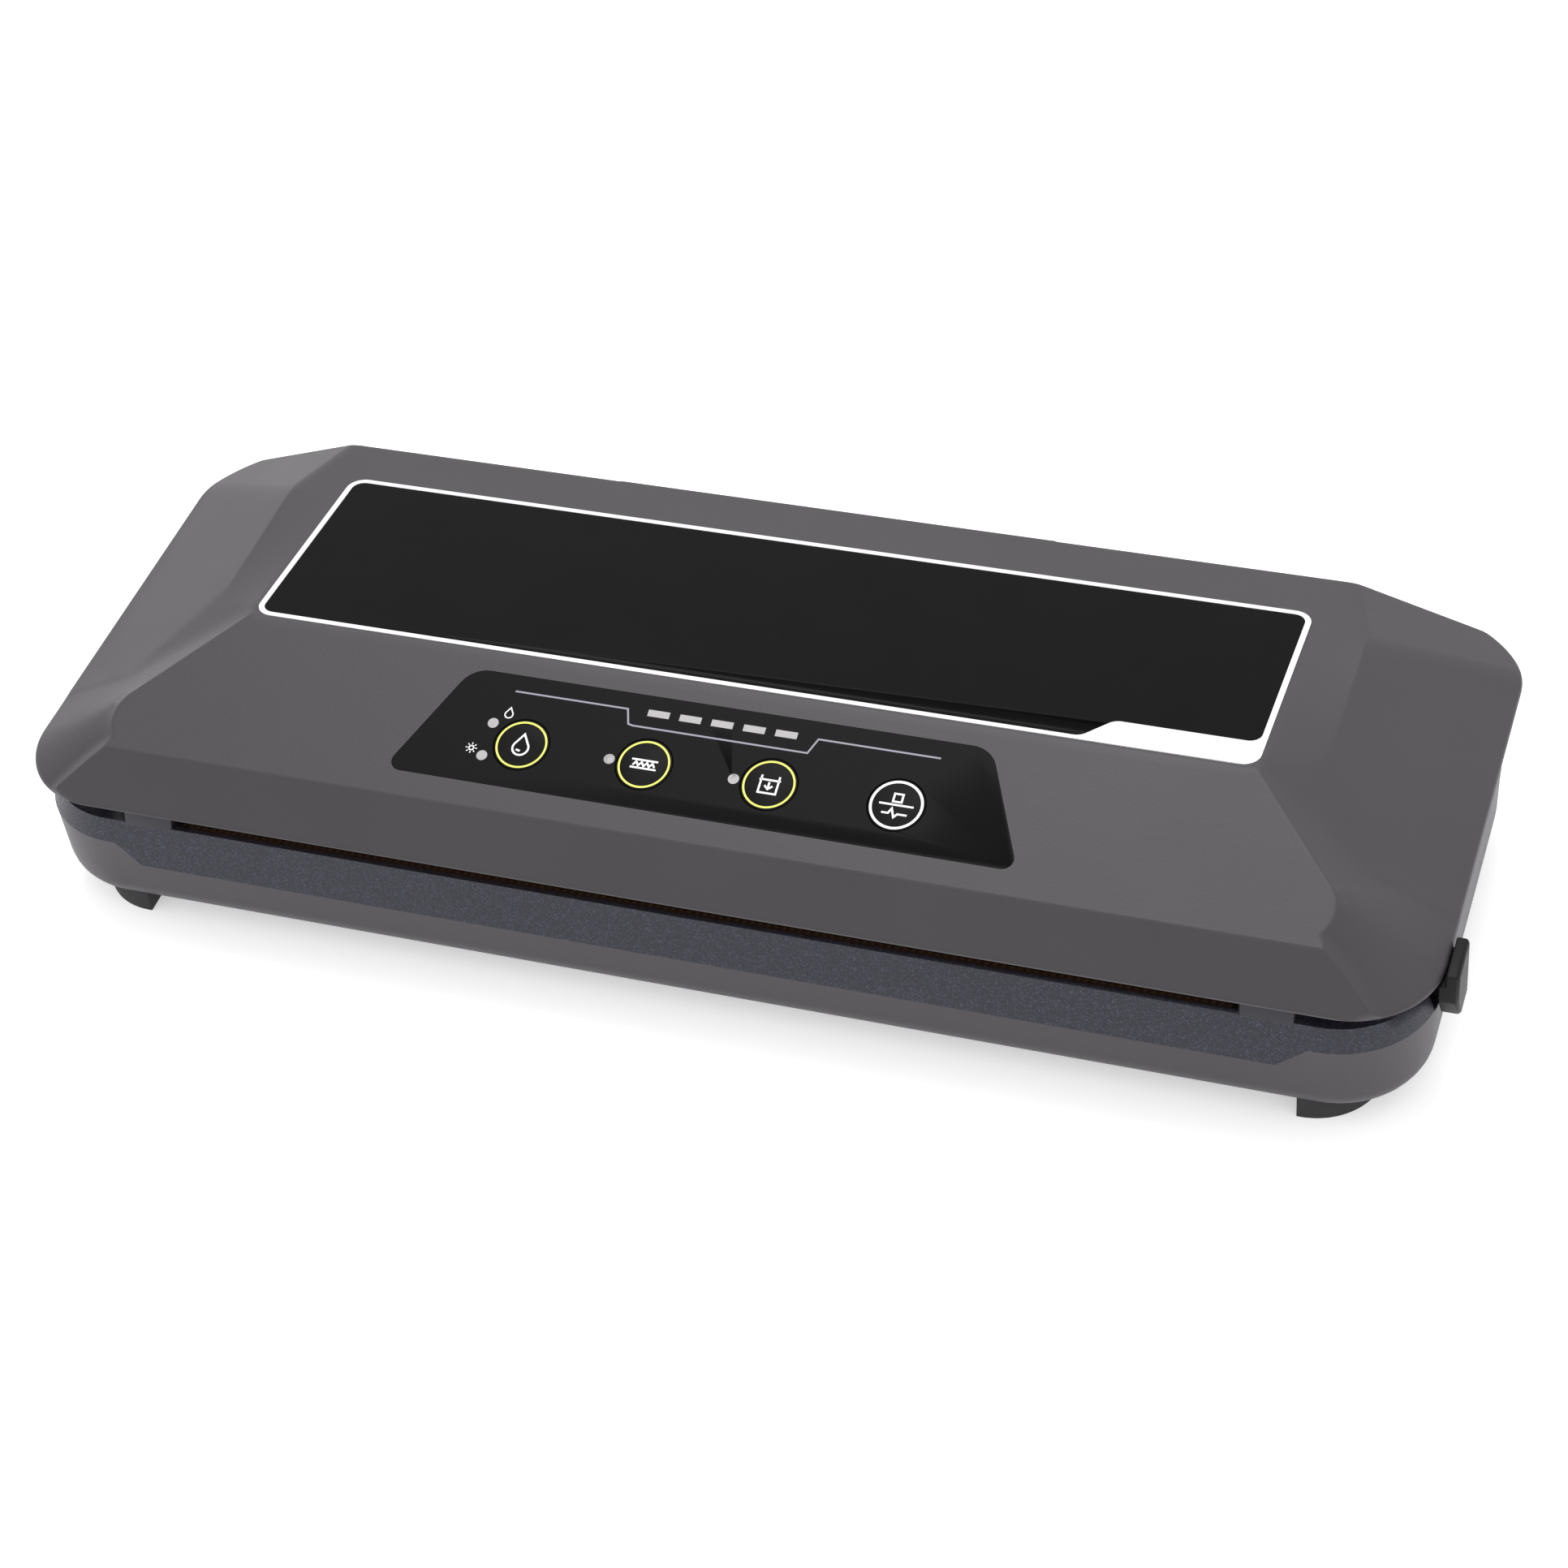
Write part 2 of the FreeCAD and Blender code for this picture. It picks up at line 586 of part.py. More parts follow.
def make_base_shell(outer):
    inner = base_block(SHELL_WALL)
    shell = outer.cut(inner)
    posts = []
    holes = []
    for x, y in screw_spots():
        posts.append(rod((x, y, FOOT_HEIGHT), (0, 0, 1), BOSS_R, BOSS_TOP - FOOT_HEIGHT))
        holes.append(rod((x, y, 0), (0, 0, 1), SCREW_R + HOLE_GAP, BOSS_TOP + PASS))
        holes.append(rod((x, y, 0), (0, 0, 1), SCREW_HEAD_R + HEAD_GAP, FOOT_HEIGHT + SCREW_SEAT))
    for x in (-LATCH_RIB_X, LATCH_RIB_X):
        posts.append(box(
            x - LATCH_RIB / 2, x + LATCH_RIB / 2, LATCH_Y - LATCH_RIB_HALF, LATCH_Y + LATCH_RIB_HALF,
            FLOOR_Z - PASS, LATCH_Z + LATCH_RIB_RISE,
        ))
        holes.append(rod((x - LATCH_RIB, LATCH_Y, LATCH_Z), (1, 0, 0), LATCH_R + PIN_FIT, 2 * LATCH_RIB))
    for x, y in board_spots():
        posts.append(rod((x, y, FLOOR_Z - PASS), (0, 0, 1), BOSS_R, BOARD_Z - FLOOR_Z + PASS))
        holes.append(rod((x, y, FLOOR_Z), (0, 0, 1), SCREW_R, BOARD_Z))
    for inset in CRADLE_INSETS:
        x = MOTOR_X + inset - CRADLE_THICK / 2
        posts.append(box(
            x, x + CRADLE_THICK, MOTOR_Y - CRADLE_HALF, MOTOR_Y + CRADLE_HALF,
            FLOOR_Z - PASS, MOTOR_Z - CRADLE_DROP,
        ))
    holes.append(rod((MOTOR_X, MOTOR_Y, MOTOR_Z), (1, 0, 0), MOTOR_R + FIT_GAP, MOTOR_LENGTH))
    head_x = MOTOR_X + MOTOR_LENGTH
    head_low = MOTOR_Z - HEAD_HEIGHT / 2
    posts.append(box(
        head_x + CRADLE_THICK, head_x + HEAD_LENGTH - CRADLE_THICK,
        MOTOR_Y - CRADLE_HALF, MOTOR_Y + CRADLE_HALF, FLOOR_Z - PASS, head_low,
    ))
    rest_y = valve_front_y() + CRADLE_THICK
    posts.append(box(
        VALVE_X - VALVE_R + PASS, VALVE_X + VALVE_R - PASS, rest_y, rest_y + CRADLE_THICK,
        FLOOR_Z - PASS, HOSE_Z - CRADLE_DROP,
    ))
    holes.append(rod((VALVE_X, valve_front_y(), HOSE_Z), (0, 1, 0), VALVE_R + FIT_GAP, VALVE_LENGTH))
    shell = fuse_all(shell, [post.common(outer) for post in posts])
    lip_y0 = DECK_FRONT_Y - LIP_REACH
    lip_y1 = DECK_FRONT_Y + LIP_SINK
    holes.append(front_profile(lip_outline(SEAM_GAP), lip_y0, lip_y1))
    holes.append(box(-LIP_HALF, LIP_HALF, lip_y0, lip_y1, LIP_BOTTOM_Z, SPLIT_Z + PASS))
    holes.append(stem_slot())
    holes.append(inlet_box(FIT_GAP, BASE_REAR_Y - INLET_DEPTH / 2, BASE_REAR_Y + PASS))
    holes.append(inlet_box(INLET_RIM + FIT_GAP, inlet_rear_y(), BASE_REAR_Y + PASS))
    notch = HINGE_LUG / 2 + LUG_NOTCH_GAP
    for x in (-HINGE_X, HINGE_X):
        holes.append(box(
            x - notch, x + notch, HINGE_Y - HINGE_NOTCH_FRONT, HINGE_Y + HINGE_NOTCH_REAR,
            SPLIT_Z - PASS, DECK_Z,
        ))
    return cut_all(shell, holes)


# ---- deck ----------------------------------------------------------------------------
def deck_rim(offset, top):
    """Sloping rim of the deck from the split line up."""
    wires = []
    for z, inset in ((SPLIT_Z, 0), (DECK_Z, DECK_INSET)):
        grown = inset + offset
        corners = rect(BASE_HALF - grown, DECK_FRONT_Y + grown, BASE_REAR_Y - grown)
        wires.append(rounded_wire(corners, [BASE_CORNER_R - grown] * 4, z))
    rim = Part.makeLoft(wires, True, True)
    return rim.common(box(-LID_WIDTH, LID_WIDTH, -LID_WIDTH, LID_WIDTH, SPLIT_Z, top))


def plateau(offset, top):
    """Raised deck behind the chamber and beside it."""
    half = BASE_HALF - DECK_INSET - PLATEAU_INSET
    rear = BASE_REAR_Y - DECK_INSET - PLATEAU_REAR_GAP
    whole = slab(
        half - offset, PLATEAU_FRONT_Y + offset, rear - offset, PLATEAU_R - offset, DECK_Z - 3, top
    )
    chamber = slab(
        CHAMBER_HALF + PLATEAU_GAP + offset, PLATEAU_FRONT_Y - 40,
        CHAMBER_REAR_Y + PLATEAU_GAP + offset, CHAMBER_R + offset, DECK_Z - 4, top + 1,
    )
    return whole.cut(chamber)


def gasket_ring(z0, z1, grow):
    """Closed rubber ring round the chamber."""
    outer = slab(
        CHAMBER_HALF + grow, CHAMBER_FRONT_Y - grow, CHAMBER_REAR_Y + grow, CHAMBER_R + grow, z0, z1
    )
    step = GASKET_WIDTH + grow
    inner = slab(
        CHAMBER_HALF - step, CHAMBER_FRONT_Y + step, CHAMBER_REAR_Y - step,
        CHAMBER_R - step, z0 - 1, z1 + 1,
    )
    return outer.cut(inner)


def trough(offset, z0, z1):
    """Vacuum trough inside the gasket ring."""
    edge = GASKET_WIDTH + TROUGH_EDGE - offset
    half = CHAMBER_HALF - GASKET_WIDTH - TROUGH_END + offset
    return slab(half, CHAMBER_FRONT_Y + edge, CHAMBER_REAR_Y - edge, TROUGH_R + offset, z0, z1)


def lip_face(x_half, z0, z1):
    """Leaning front plate between two heights."""
    y0 = LIP_Y - LIP_SLOPE * (DECK_Z - z0)
    y1 = LIP_Y - LIP_SLOPE * (DECK_Z - z1)
    return side_profile([(y0, z0), (y1, z1), (y1 + LIP_THICK, z1), (y0 + LIP_THICK, z0)], -x_half, x_half)


def make_base_deck():
    floor = DECK_Z - DECK_WALL
    solid = fuse_all(deck_rim(0, DECK_Z), [plateau(0, PLATEAU_Z)])
    hollow = fuse_all(deck_rim(DECK_WALL, floor), [plateau(DECK_WALL, PLATEAU_Z - DECK_WALL)])
    deck = solid.cut(hollow)
    extra = [
        box(
            -BAR_HALF - BAR_WALL, BAR_HALF + BAR_WALL, CHANNEL_Y - LIP_LAND / 2,
            CHANNEL_END_Y + CHAMBER_FRONT_GAP, DECK_Z - CHANNEL_DEPTH - BAR_WALL, DECK_Z,
        ),
        trough(TROUGH_WALL, DECK_Z - TROUGH_DEPTH - TROUGH_WALL, DECK_Z - DECK_WALL / 2),
        lip_face(LIP_HALF + LIP_CHEVRON, LIP_BOTTOM_Z, DECK_Z).common(
            front_profile(lip_outline(0) + [
                (LIP_HALF + LIP_CHEVRON, DECK_Z), (-LIP_HALF - LIP_CHEVRON, DECK_Z)
            ], DECK_FRONT_Y - LIP_REACH, LIP_Y + LIP_REACH)
        ),
    ]
    holes = []
    stop_top = RIM_Z - MOVE_GAP
    stop_y = LIP_Y + LIP_SLOPE * (stop_top - DECK_Z)
    stop_end = LIP_Y + STOP_DEPTH
    block = side_profile(
        [(LIP_Y, DECK_Z - PASS), (stop_y, stop_top), (stop_end, stop_top), (stop_end, DECK_Z - PASS)],
        SLOT_HALF, SLOT_HALF + STOP_LENGTH,
    )
    extra += both(block)
    for x, y in screw_spots():
        top = (PLATEAU_Z if y > CHAMBER_REAR_Y else DECK_Z) - DECK_WALL / 2
        extra.append(rod((x, y, BOSS_TOP + FIT_GAP), (0, 0, 1), BOSS_R, top - BOSS_TOP - FIT_GAP))
        bore = SCREW_BITE + SCREW_ROOM + PASS
        holes.append(rod((x, y, BOSS_TOP - PASS), (0, 0, 1), SCREW_R + SCREW_GRIP, bore))
    # the hose barb and the valve seat stand on the rear wall of the trough
    wall_y = CHAMBER_REAR_Y - GASKET_WIDTH - TROUGH_EDGE
    extra.append(rod((HOSE_X, wall_y, HOSE_Z), (0, 1, 0), BARB_R, PORT_LENGTH + VALVE_GAP))
    holes.append(rod((HOSE_X, wall_y - BARB_R, HOSE_Z), (0, 1, 0), BARB_R - BARB_WALL, 2 * PORT_LENGTH))
    extra.append(rod((VALVE_X, wall_y, HOSE_Z), (0, 1, 0), SEAT_R, valve_seat_y() - wall_y))
    holes.append(rod((VALVE_X, wall_y - BARB_R, HOSE_Z), (0, 1, 0), SEAT_BORE_R, 2 * PORT_LENGTH))
    for x in (-HINGE_X, HINGE_X):
        for side in (-1, 1):
            near = x + side * (HINGE_LUG / 2 + MOVE_GAP)
            far = near + side * HINGE_EAR
            x0 = min(near, far)
            extra.append(rod((x0, HINGE_Y, HINGE_Z), (1, 0, 0), HINGE_HUB_R, HINGE_EAR))
            extra.append(box(
                x0, x0 + HINGE_EAR, HINGE_Y - HINGE_NOTCH_FRONT + PASS, HINGE_Y + PASS,
                DECK_Z - DECK_WALL + MOVE_GAP, HINGE_Z,
            ))
        gap = HINGE_LUG / 2 + MOVE_GAP
        holes.append(box(
            x - gap, x + gap, HINGE_Y - HINGE_NOTCH_FRONT, HINGE_Y + HINGE_NOTCH_REAR,
            SPLIT_Z - PASS, HINGE_Z + HINGE_HUB_R + PASS,
        ))
        reach = gap + HINGE_EAR + PASS
        holes.append(rod((x - reach, HINGE_Y, HINGE_Z), (1, 0, 0), HINGE_PIN_R + SCREW_GRIP, 2 * reach))
    deck = fuse_all(deck, extra)
    bar_end = BAR_HALF + FIT_GAP
    holes.append(box(-bar_end, bar_end, CHANNEL_Y, CHANNEL_END_Y, DECK_Z - CHANNEL_DEPTH, DECK_Z + PASS))
    holes.append(trough(0, DECK_Z - TROUGH_DEPTH, DECK_Z + PASS))
    holes.append(gasket_ring(DECK_Z - GASKET_SEAT, DECK_Z + PASS, FIT_GAP))
    swing = math.radians(LATCH_SWING) * (PLATEAU_Z - LATCH_Z)
    slot = box(
        ARM_X - ARM_THICK / 2 - SLOT_GAP, ARM_X + ARM_THICK / 2 + SLOT_GAP,
        LATCH_Y - ARM_DEPTH / 2 - swing - SLOT_GAP, LATCH_Y + ARM_DEPTH / 2 + SLOT_GAP,
        SPLIT_Z + PASS, PLATEAU_Z + PASS,
    )
    holes += both(slot)
    holes.append(stem_slot())
    return cut_all(deck, holes)


# ---- sealing parts in the base -------------------------------------------------------
def make_seal_parts():
    bar_y0 = CHANNEL_Y + FIT_GAP
    bar_y1 = bar_y0 + BAR_WIDTH
    middle = (bar_y0 + bar_y1) / 2
    bar = box(-BAR_HALF, BAR_HALF, bar_y0, bar_y1, DECK_Z - CHANNEL_DEPTH, BAR_TOP_Z)
    save("seal_bar", bar)
    element = box(
        -BAR_HALF + ELEMENT_END, BAR_HALF - ELEMENT_END,
        middle - ELEMENT_WIDTH / 2, middle + ELEMENT_WIDTH / 2, BAR_TOP_Z, BAR_TOP_Z + ELEMENT_THICK,
    )
    save("heating_strip", element)
    tape = box(-BAR_HALF, BAR_HALF, bar_y0, bar_y1, BAR_TOP_Z, TAPE_TOP_Z)
    save("seal_tape", tape.cut(element))
    save("base_gasket", gasket_ring(DECK_Z - GASKET_SEAT, DECK_Z - GASKET_SEAT + GASKET_HEIGHT, 0))


# ---- feet ----------------------------------------------------------------------------
def make_feet(outer):
    rear = BASE_REAR_Y - FOOT_INSET
    pad = slab(
        BASE_HALF - FOOT_INSET, DECK_FRONT_Y + FOOT_FRONT_INSET, rear, FOOT_R, 0, FOOT_HEIGHT + FOOT_SEAT
    ).cut(outer)
    x0 = BASE_HALF - FOOT_INSET - FOOT_LENGTH
    front_end = DECK_FRONT_Y + FOOT_FRONT_INSET + FOOT_DEPTH
    corners = {
        "foot_front_left": box(-BASE_HALF, -x0, DECK_FRONT_Y, front_end, -1, SPLIT_Z),
        "foot_front_right": box(x0, BASE_HALF, DECK_FRONT_Y, front_end, -1, SPLIT_Z),
        "foot_rear_left": box(-BASE_HALF, -x0, rear - FOOT_DEPTH, BASE_REAR_Y, -1, SPLIT_Z),
        "foot_rear_right": box(x0, BASE_HALF, rear - FOOT_DEPTH, BASE_REAR_Y, -1, SPLIT_Z),
    }
    recess = rod((0, 0, -PASS), (0, 0, 1), FOOT_DIMPLE_R, 2 * PASS)
    for name, corner in corners.items():
        foot = pad.common(corner).Solids[0]
        centre = foot.CenterOfMass
        dimple = recess.copy()
        dimple.translate(Vector(centre.x, centre.y, 0))
        save(name, foot.cut(dimple))


# ---- fasteners -----------------------------------------------------------------------
def screw(x, y, z, length):
    """Pan head screw that points up, with a cross recess in its head."""
    head = rod((x, y, z - SCREW_HEAD), (0, 0, 1), SCREW_HEAD_R, SCREW_HEAD)
    low = z - SCREW_HEAD - PASS
    deep = z - SCREW_HEAD / 2
    half = CROSS_WIDTH / 2
    recess = fuse_all(
        box(x - CROSS_HALF, x + CROSS_HALF, y - half, y + half, low, deep),
        [box(x - half, x + half, y - CROSS_HALF, y + CROSS_HALF, low, deep)],
    )
    return head.fuse(rod((x, y, z), (0, 0, 1), SCREW_R, length)).removeSplitter().cut(recess)


def make_housing_screws():
    seat = FOOT_HEIGHT + SCREW_SEAT
    length = BOSS_TOP + SCREW_BITE - seat
    save("housing_screws", [screw(x, y, seat, length) for x, y in screw_spots()])


# ---- latch ---------------------------------------------------------------------------
def make_latch():
    half = ARM_X + ARM_THICK / 2
    save("latch_bar", rod((-half, LATCH_Y, LATCH_Z), (1, 0, 0), LATCH_R, 2 * half))
    x0 = ARM_X - ARM_THICK / 2
    back = LATCH_Y + ARM_DEPTH / 2
    front = LATCH_Y - ARM_DEPTH / 2
    arm = side_profile(
        [
            (front, LATCH_Z), (back, LATCH_Z), (back, HOOK_Z + HOOK_THICK),
            (front - HOOK_REACH + 1.6, HOOK_Z + HOOK_THICK), (front - HOOK_REACH, HOOK_Z + 1.2),
            (front - HOOK_REACH, HOOK_Z), (front, HOOK_Z),
        ],
        x0, x0 + ARM_THICK,
    )
    hub = rod((x0, LATCH_Y, LATCH_Z), (1, 0, 0), LATCH_R + 2.3, ARM_THICK)
    bore = rod((x0 - 1, LATCH_Y, LATCH_Z), (1, 0, 0), LATCH_R, ARM_THICK + 2)
    hook = arm.fuse(hub).removeSplitter().cut(bore)
    save("latch_hook_right", hook)
    save("latch_hook_left", mirrored(hook))
    wall = BASE_HALF + TAB_GAP
    stem = box(
        x0 + ARM_THICK, wall + PASS, front + MOVE_GAP, back - MOVE_GAP,
        STEM_Z - STEM_HEIGHT / 2, STEM_Z + STEM_HEIGHT / 2,
    )
    tab_front = LATCH_Y - TAB_FRONT
    tab_rear = LATCH_Y + TAB_REAR
    tab_low = SPLIT_Z - TAB_DROP
    tab = side_profile(
        [
            (tab_rear, tab_low), (tab_rear, TAB_TOP_Z), (tab_front, TAB_TOP_Z),
            (tab_front, tab_low + TAB_CHAMFER_Z), (tab_front + TAB_CHAMFER_Y, tab_low),
        ],
        wall, wall + TAB_THICK,
    )
    outer = [e for e in tab.Edges if e.BoundBox.XMin > wall + TAB_THICK - 0.01]
    tab = tab.makeFillet(TAB_EDGE_R, outer)
    rim_cut = box(wall - 1, LID_HALF + TAB_GAP, -LID_DEPTH, LID_DEPTH, RIM_Z - 0.8, TAB_TOP_Z + 1)
    save("lock_lever", fuse_all(tab.cut(rim_cut), [stem]))


# ---- pump ----------------------------------------------------------------------------
def ring_bore():
    """Radius of the rod's ring, wide enough for the eccentric and the stroke."""
    return ECC_R + ECC_OFFSET + ROD_STROKE + MOVE_GAP


def head_reach():
    """From the motor axis to the outside of the pump housing."""
    return ring_bore() + ROD_RING + ROD_STROKE + MOVE_GAP + HEAD_WALL


def head_front_y():
    return MOTOR_Y - head_reach()


def head_rear_y():
    return MOTOR_Y + head_reach()


def make_pump():
    head_x = MOTOR_X + MOTOR_LENGTH
    axis = (1, 0, 0)
    can = rod((MOTOR_X, MOTOR_Y, MOTOR_Z), axis, MOTOR_R, MOTOR_LENGTH)
    can = can.makeFillet(1.5, [e for e in can.Edges if e.BoundBox.XMax < MOTOR_X + 0.01])
    can = can.cut(rod((MOTOR_X + 3, MOTOR_Y, MOTOR_Z), axis, MOTOR_R - 2, MOTOR_LENGTH - 5))
    can = can.cut(rod((MOTOR_X + MOTOR_LENGTH - 3, MOTOR_Y, MOTOR_Z), axis, SHAFT_R + PIN_FIT, 5))
    save("motor_can", can)
    mid = head_x + HEAD_LENGTH / 2
    shaft = rod((MOTOR_X + 4, MOTOR_Y, MOTOR_Z), axis, SHAFT_R, mid + ECC_LENGTH / 2 - MOTOR_X - 4)
    core = rod((MOTOR_X + 6, MOTOR_Y, MOTOR_Z), axis, MOTOR_R - 3.5, MOTOR_LENGTH - 14)
    save("motor_rotor", fuse_all(shaft, [core]))
    cam = rod((mid - ECC_LENGTH / 2, MOTOR_Y + ECC_OFFSET, MOTOR_Z), axis, ECC_R, ECC_LENGTH)
    weight = rod((mid - ECC_LENGTH / 2 - 3, MOTOR_Y, MOTOR_Z), axis, ECC_R + 2, 2.5)
    weight = weight.common(
        box(mid - 20, mid, MOTOR_Y - 20, MOTOR_Y + SHAFT_R + 1, MOTOR_Z - 20, MOTOR_Z + 20)
    )
    bore = rod((mid - 20, MOTOR_Y, MOTOR_Z), axis, SHAFT_R, 40)
    save("eccentric", [cam.cut(bore), weight.cut(bore)])
    ring_in = ring_bore()
    ring_out = ring_in + ROD_RING
    y0 = head_front_y()
    y1 = head_rear_y()
    z0 = MOTOR_Z - HEAD_HEIGHT / 2
    head = box(head_x, head_x + HEAD_LENGTH, y0, y1, z0, z0 + HEAD_HEIGHT)
    room = box(
        head_x + HEAD_WALL, head_x + HEAD_LENGTH - HEAD_WALL, y0 + HEAD_WALL, y1 - HEAD_WALL,
        z0 + HEAD_WALL, z0 + HEAD_HEIGHT - HEAD_WALL,
    )
    head = head.cut(room)
    head = head.cut(rod((head_x - 1, MOTOR_Y, MOTOR_Z), axis, SHAFT_R + 1, HEAD_WALL + 2))
    head = head.cut(rod((mid, y1 - HEAD_WALL - 1, MOTOR_Z), (0, 1, 0), ROD_R + MOVE_GAP, HEAD_WALL + 2))
    save("pump_housing", head)
    rod_ring = rod((mid - 2.5, MOTOR_Y, MOTOR_Z), axis, ring_out, 5)
    link = rod((mid, MOTOR_Y, MOTOR_Z), (0, 1, 0), ROD_R, y1 + COVER_DEPTH / 2 - MOTOR_Y - 1)
    plate_y = y1 + COVER_DEPTH / 2 - 1
    disc = rod((mid, plate_y, MOTOR_Z), (0, 1, 0), DIAPHRAGM_R - 3, 1.4)
    hollow = rod((mid - 5, MOTOR_Y, MOTOR_Z), axis, ring_in, 10)
    save("pump_rod", rod_ring.cut(hollow).fuse([link.cut(hollow), disc]))
    rubber = rod((mid, plate_y, MOTOR_Z), (0, 1, 0), DIAPHRAGM_R, DIAPHRAGM_THICK)
    save("diaphragm", rubber.cut(rod((mid, plate_y - 1, MOTOR_Z), (0, 1, 0), DIAPHRAGM_R - 3, 4)))
    cover = box(head_x, head_x + HEAD_LENGTH, y1, y1 + COVER_DEPTH + 3, z0, z0 + HEAD_HEIGHT)
    cover = cover.cut(rod((mid, y1 - 1, MOTOR_Z), (0, 1, 0), DIAPHRAGM_R + MOVE_GAP, COVER_DEPTH + 1))
    barb = rod((head_x + HEAD_LENGTH - 1, hose_y(), HOSE_Z), axis, BARB_R, PORT_LENGTH + 1)
    duct = rod((head_x + HEAD_LENGTH - 6, hose_y(), HOSE_Z), axis, BARB_R - 1, PORT_LENGTH + 8)
    save("valve_cover", fuse_all(cover, [barb]).cut(duct))
    spots = [
        (head_x + 2.2 + i * (HEAD_LENGTH - 4.4), z0 + 2.2 + j * (HEAD_HEIGHT - 4.4))
        for i in (0, 1) for j in (0, 1)
    ]
    heads = [rod((x, y1 + COVER_DEPTH + 3, z), (0, 1, 0), 1.9, 1.6) for x, z in spots]
    save("pump_screws", heads)


def hose_y():
    return head_rear_y() + COVER_DEPTH / 2 + 1


def make_hose():
    head_end = MOTOR_X + MOTOR_LENGTH + HEAD_LENGTH
    start = Vector(head_end + FIT_GAP, hose_y(), HOSE_Z)
    turn = Vector(HOSE_X, hose_y(), HOSE_Z)
    end = Vector(HOSE_X, CHAMBER_REAR_Y + 1.5, HOSE_Z)
    first = turn - Vector(HOSE_BEND_R, 0, 0)
    last = turn - Vector(0, HOSE_BEND_R, 0)
    centre = first - Vector(0, HOSE_BEND_R, 0)
    diag = HOSE_BEND_R / math.sqrt(2)
    middle = centre + Vector(diag, diag, 0)
    path = Part.Wire([
        Part.LineSegment(start, first).toShape(),
        Part.Arc(first, middle, last).toShape(),
        Part.LineSegment(last, end).toShape(),
    ])
    tubes = []
    for radius in (BARB_R + HOSE_WALL, BARB_R):
        ring = Part.Wire(Part.makeCircle(radius, start, Vector(1, 0, 0)))
        tubes.append(path.makePipeShell([ring], True, True))
    save("vacuum_hose", tubes[0].cut(tubes[1]))


# ---- release valve -------------------------------------------------------------------
def valve_front_y():
    return CHAMBER_REAR_Y + VALVE_GAP


def valve_seat_y():
    """Rear end of the tube that the plunger closes."""
    return CHAMBER_REAR_Y + PASS


def make_valve():
    y0 = valve_front_y()
    along = (0, 1, 0)
    coil = rod((VALVE_X, y0, HOSE_Z), along, VALVE_R, VALVE_LENGTH)
    coil = coil.cut(rod((VALVE_X, y0 - 1, HOSE_Z), along, PLUNGER_R + 0.1, VALVE_LENGTH - 2))
    save("valve_coil", coil)
    plunger_y = valve_seat_y() + SEAL_GAP
    length = y0 + VALVE_LENGTH - 3 - VALVE_TRAVEL - MOVE_GAP - plunger_y
    tip = rod((VALVE_X, plunger_y, HOSE_Z), along, PLUNGER_R - 0.6, 3)
    stem = rod((VALVE_X, plunger_y + 2, HOSE_Z), along, PLUNGER_R, length - 2)
    save("valve_plunger", fuse_all(tip, [stem]))


# ---- power board and inlet -----------------------------------------------------------
def make_electrics():
    x1 = BOARD_X + BOARD_LENGTH
    y1 = BOARD_Y + BOARD_WIDTH
    board = box(BOARD_X, x1, BOARD_Y, y1, BOARD_Z, BOARD_Z + BOARD_THICK)
    top = BOARD_Z + BOARD_THICK
    bores = [rod((x, y, 0), (0, 0, 1), SCREW_R + HOLE_GAP, top + PASS) for x, y in board_spots()]
    save("power_board", cut_all(board, bores))
    trafo_x = BOARD_X + 22
    trafo_y = BOARD_Y + 10
    core = box(trafo_x, trafo_x + TRAFO_LENGTH, trafo_y, trafo_y + TRAFO_WIDTH, top, top + TRAFO_HEIGHT)
    windows = []
    for x in (trafo_x + TRAFO_LIMB, trafo_x + TRAFO_LENGTH - TRAFO_LIMB - TRAFO_WINDOW):
        windows.append(box(
            x, x + TRAFO_WINDOW, trafo_y - PASS, trafo_y + TRAFO_WIDTH + PASS,
            top + TRAFO_LIMB, top + TRAFO_HEIGHT - TRAFO_LIMB,
        ))
    save("transformer", cut_all(core, windows))
    small = [
        rod((BOARD_X + 10, BOARD_Y + 16, top), (0, 0, 1), 4, 12),
        rod((BOARD_X + 10, BOARD_Y + 27, top), (0, 0, 1), 4, 12),
        box(x1 - 8, x1 - 2, BOARD_Y + 12, BOARD_Y + 30, top, top + 8),
        box(BOARD_X + 12, BOARD_X + 20, y1 - 8, y1 - 3, top, top + 6),
    ]
    save("board_components", small)
    screws = []
    for x, y in board_spots():
        head = rod((x, y, top), (0, 0, 1), SCREW_HEAD_R, SCREW_HEAD)
        shank = rod((x, y, FLOOR_Z + PASS), (0, 0, 1), SCREW_R - SCREW_GRIP, top - FLOOR_Z)
        screws.append(fuse_all(head, [shank]))
    save("board_screws", screws)
    rear = inlet_rear_y()
    flange = inlet_box(INLET_RIM, rear, rear + 1.2)
    body = inlet_box(0, rear - INLET_DEPTH, rear + 1.2)
    socket = box(INLET_X - 7, INLET_X + 7, rear - INLET_DEPTH + 2, rear + 5, INLET_Z - 4, INLET_Z + 4)
    socket = socket.makeFillet(3.5, [e for e in socket.Edges if abs(e.BoundBox.YMax - e.BoundBox.YMin) > 5])
    inlet = fuse_all(body, [flange]).cut(socket)
    pins = [rod((INLET_X + s * 3.6, rear - INLET_DEPTH + 2, INLET_Z), (0, 1, 0), 1.2, 9) for s in (-1, 1)]
    save("power_inlet", inlet)
    save("inlet_pins", pins)


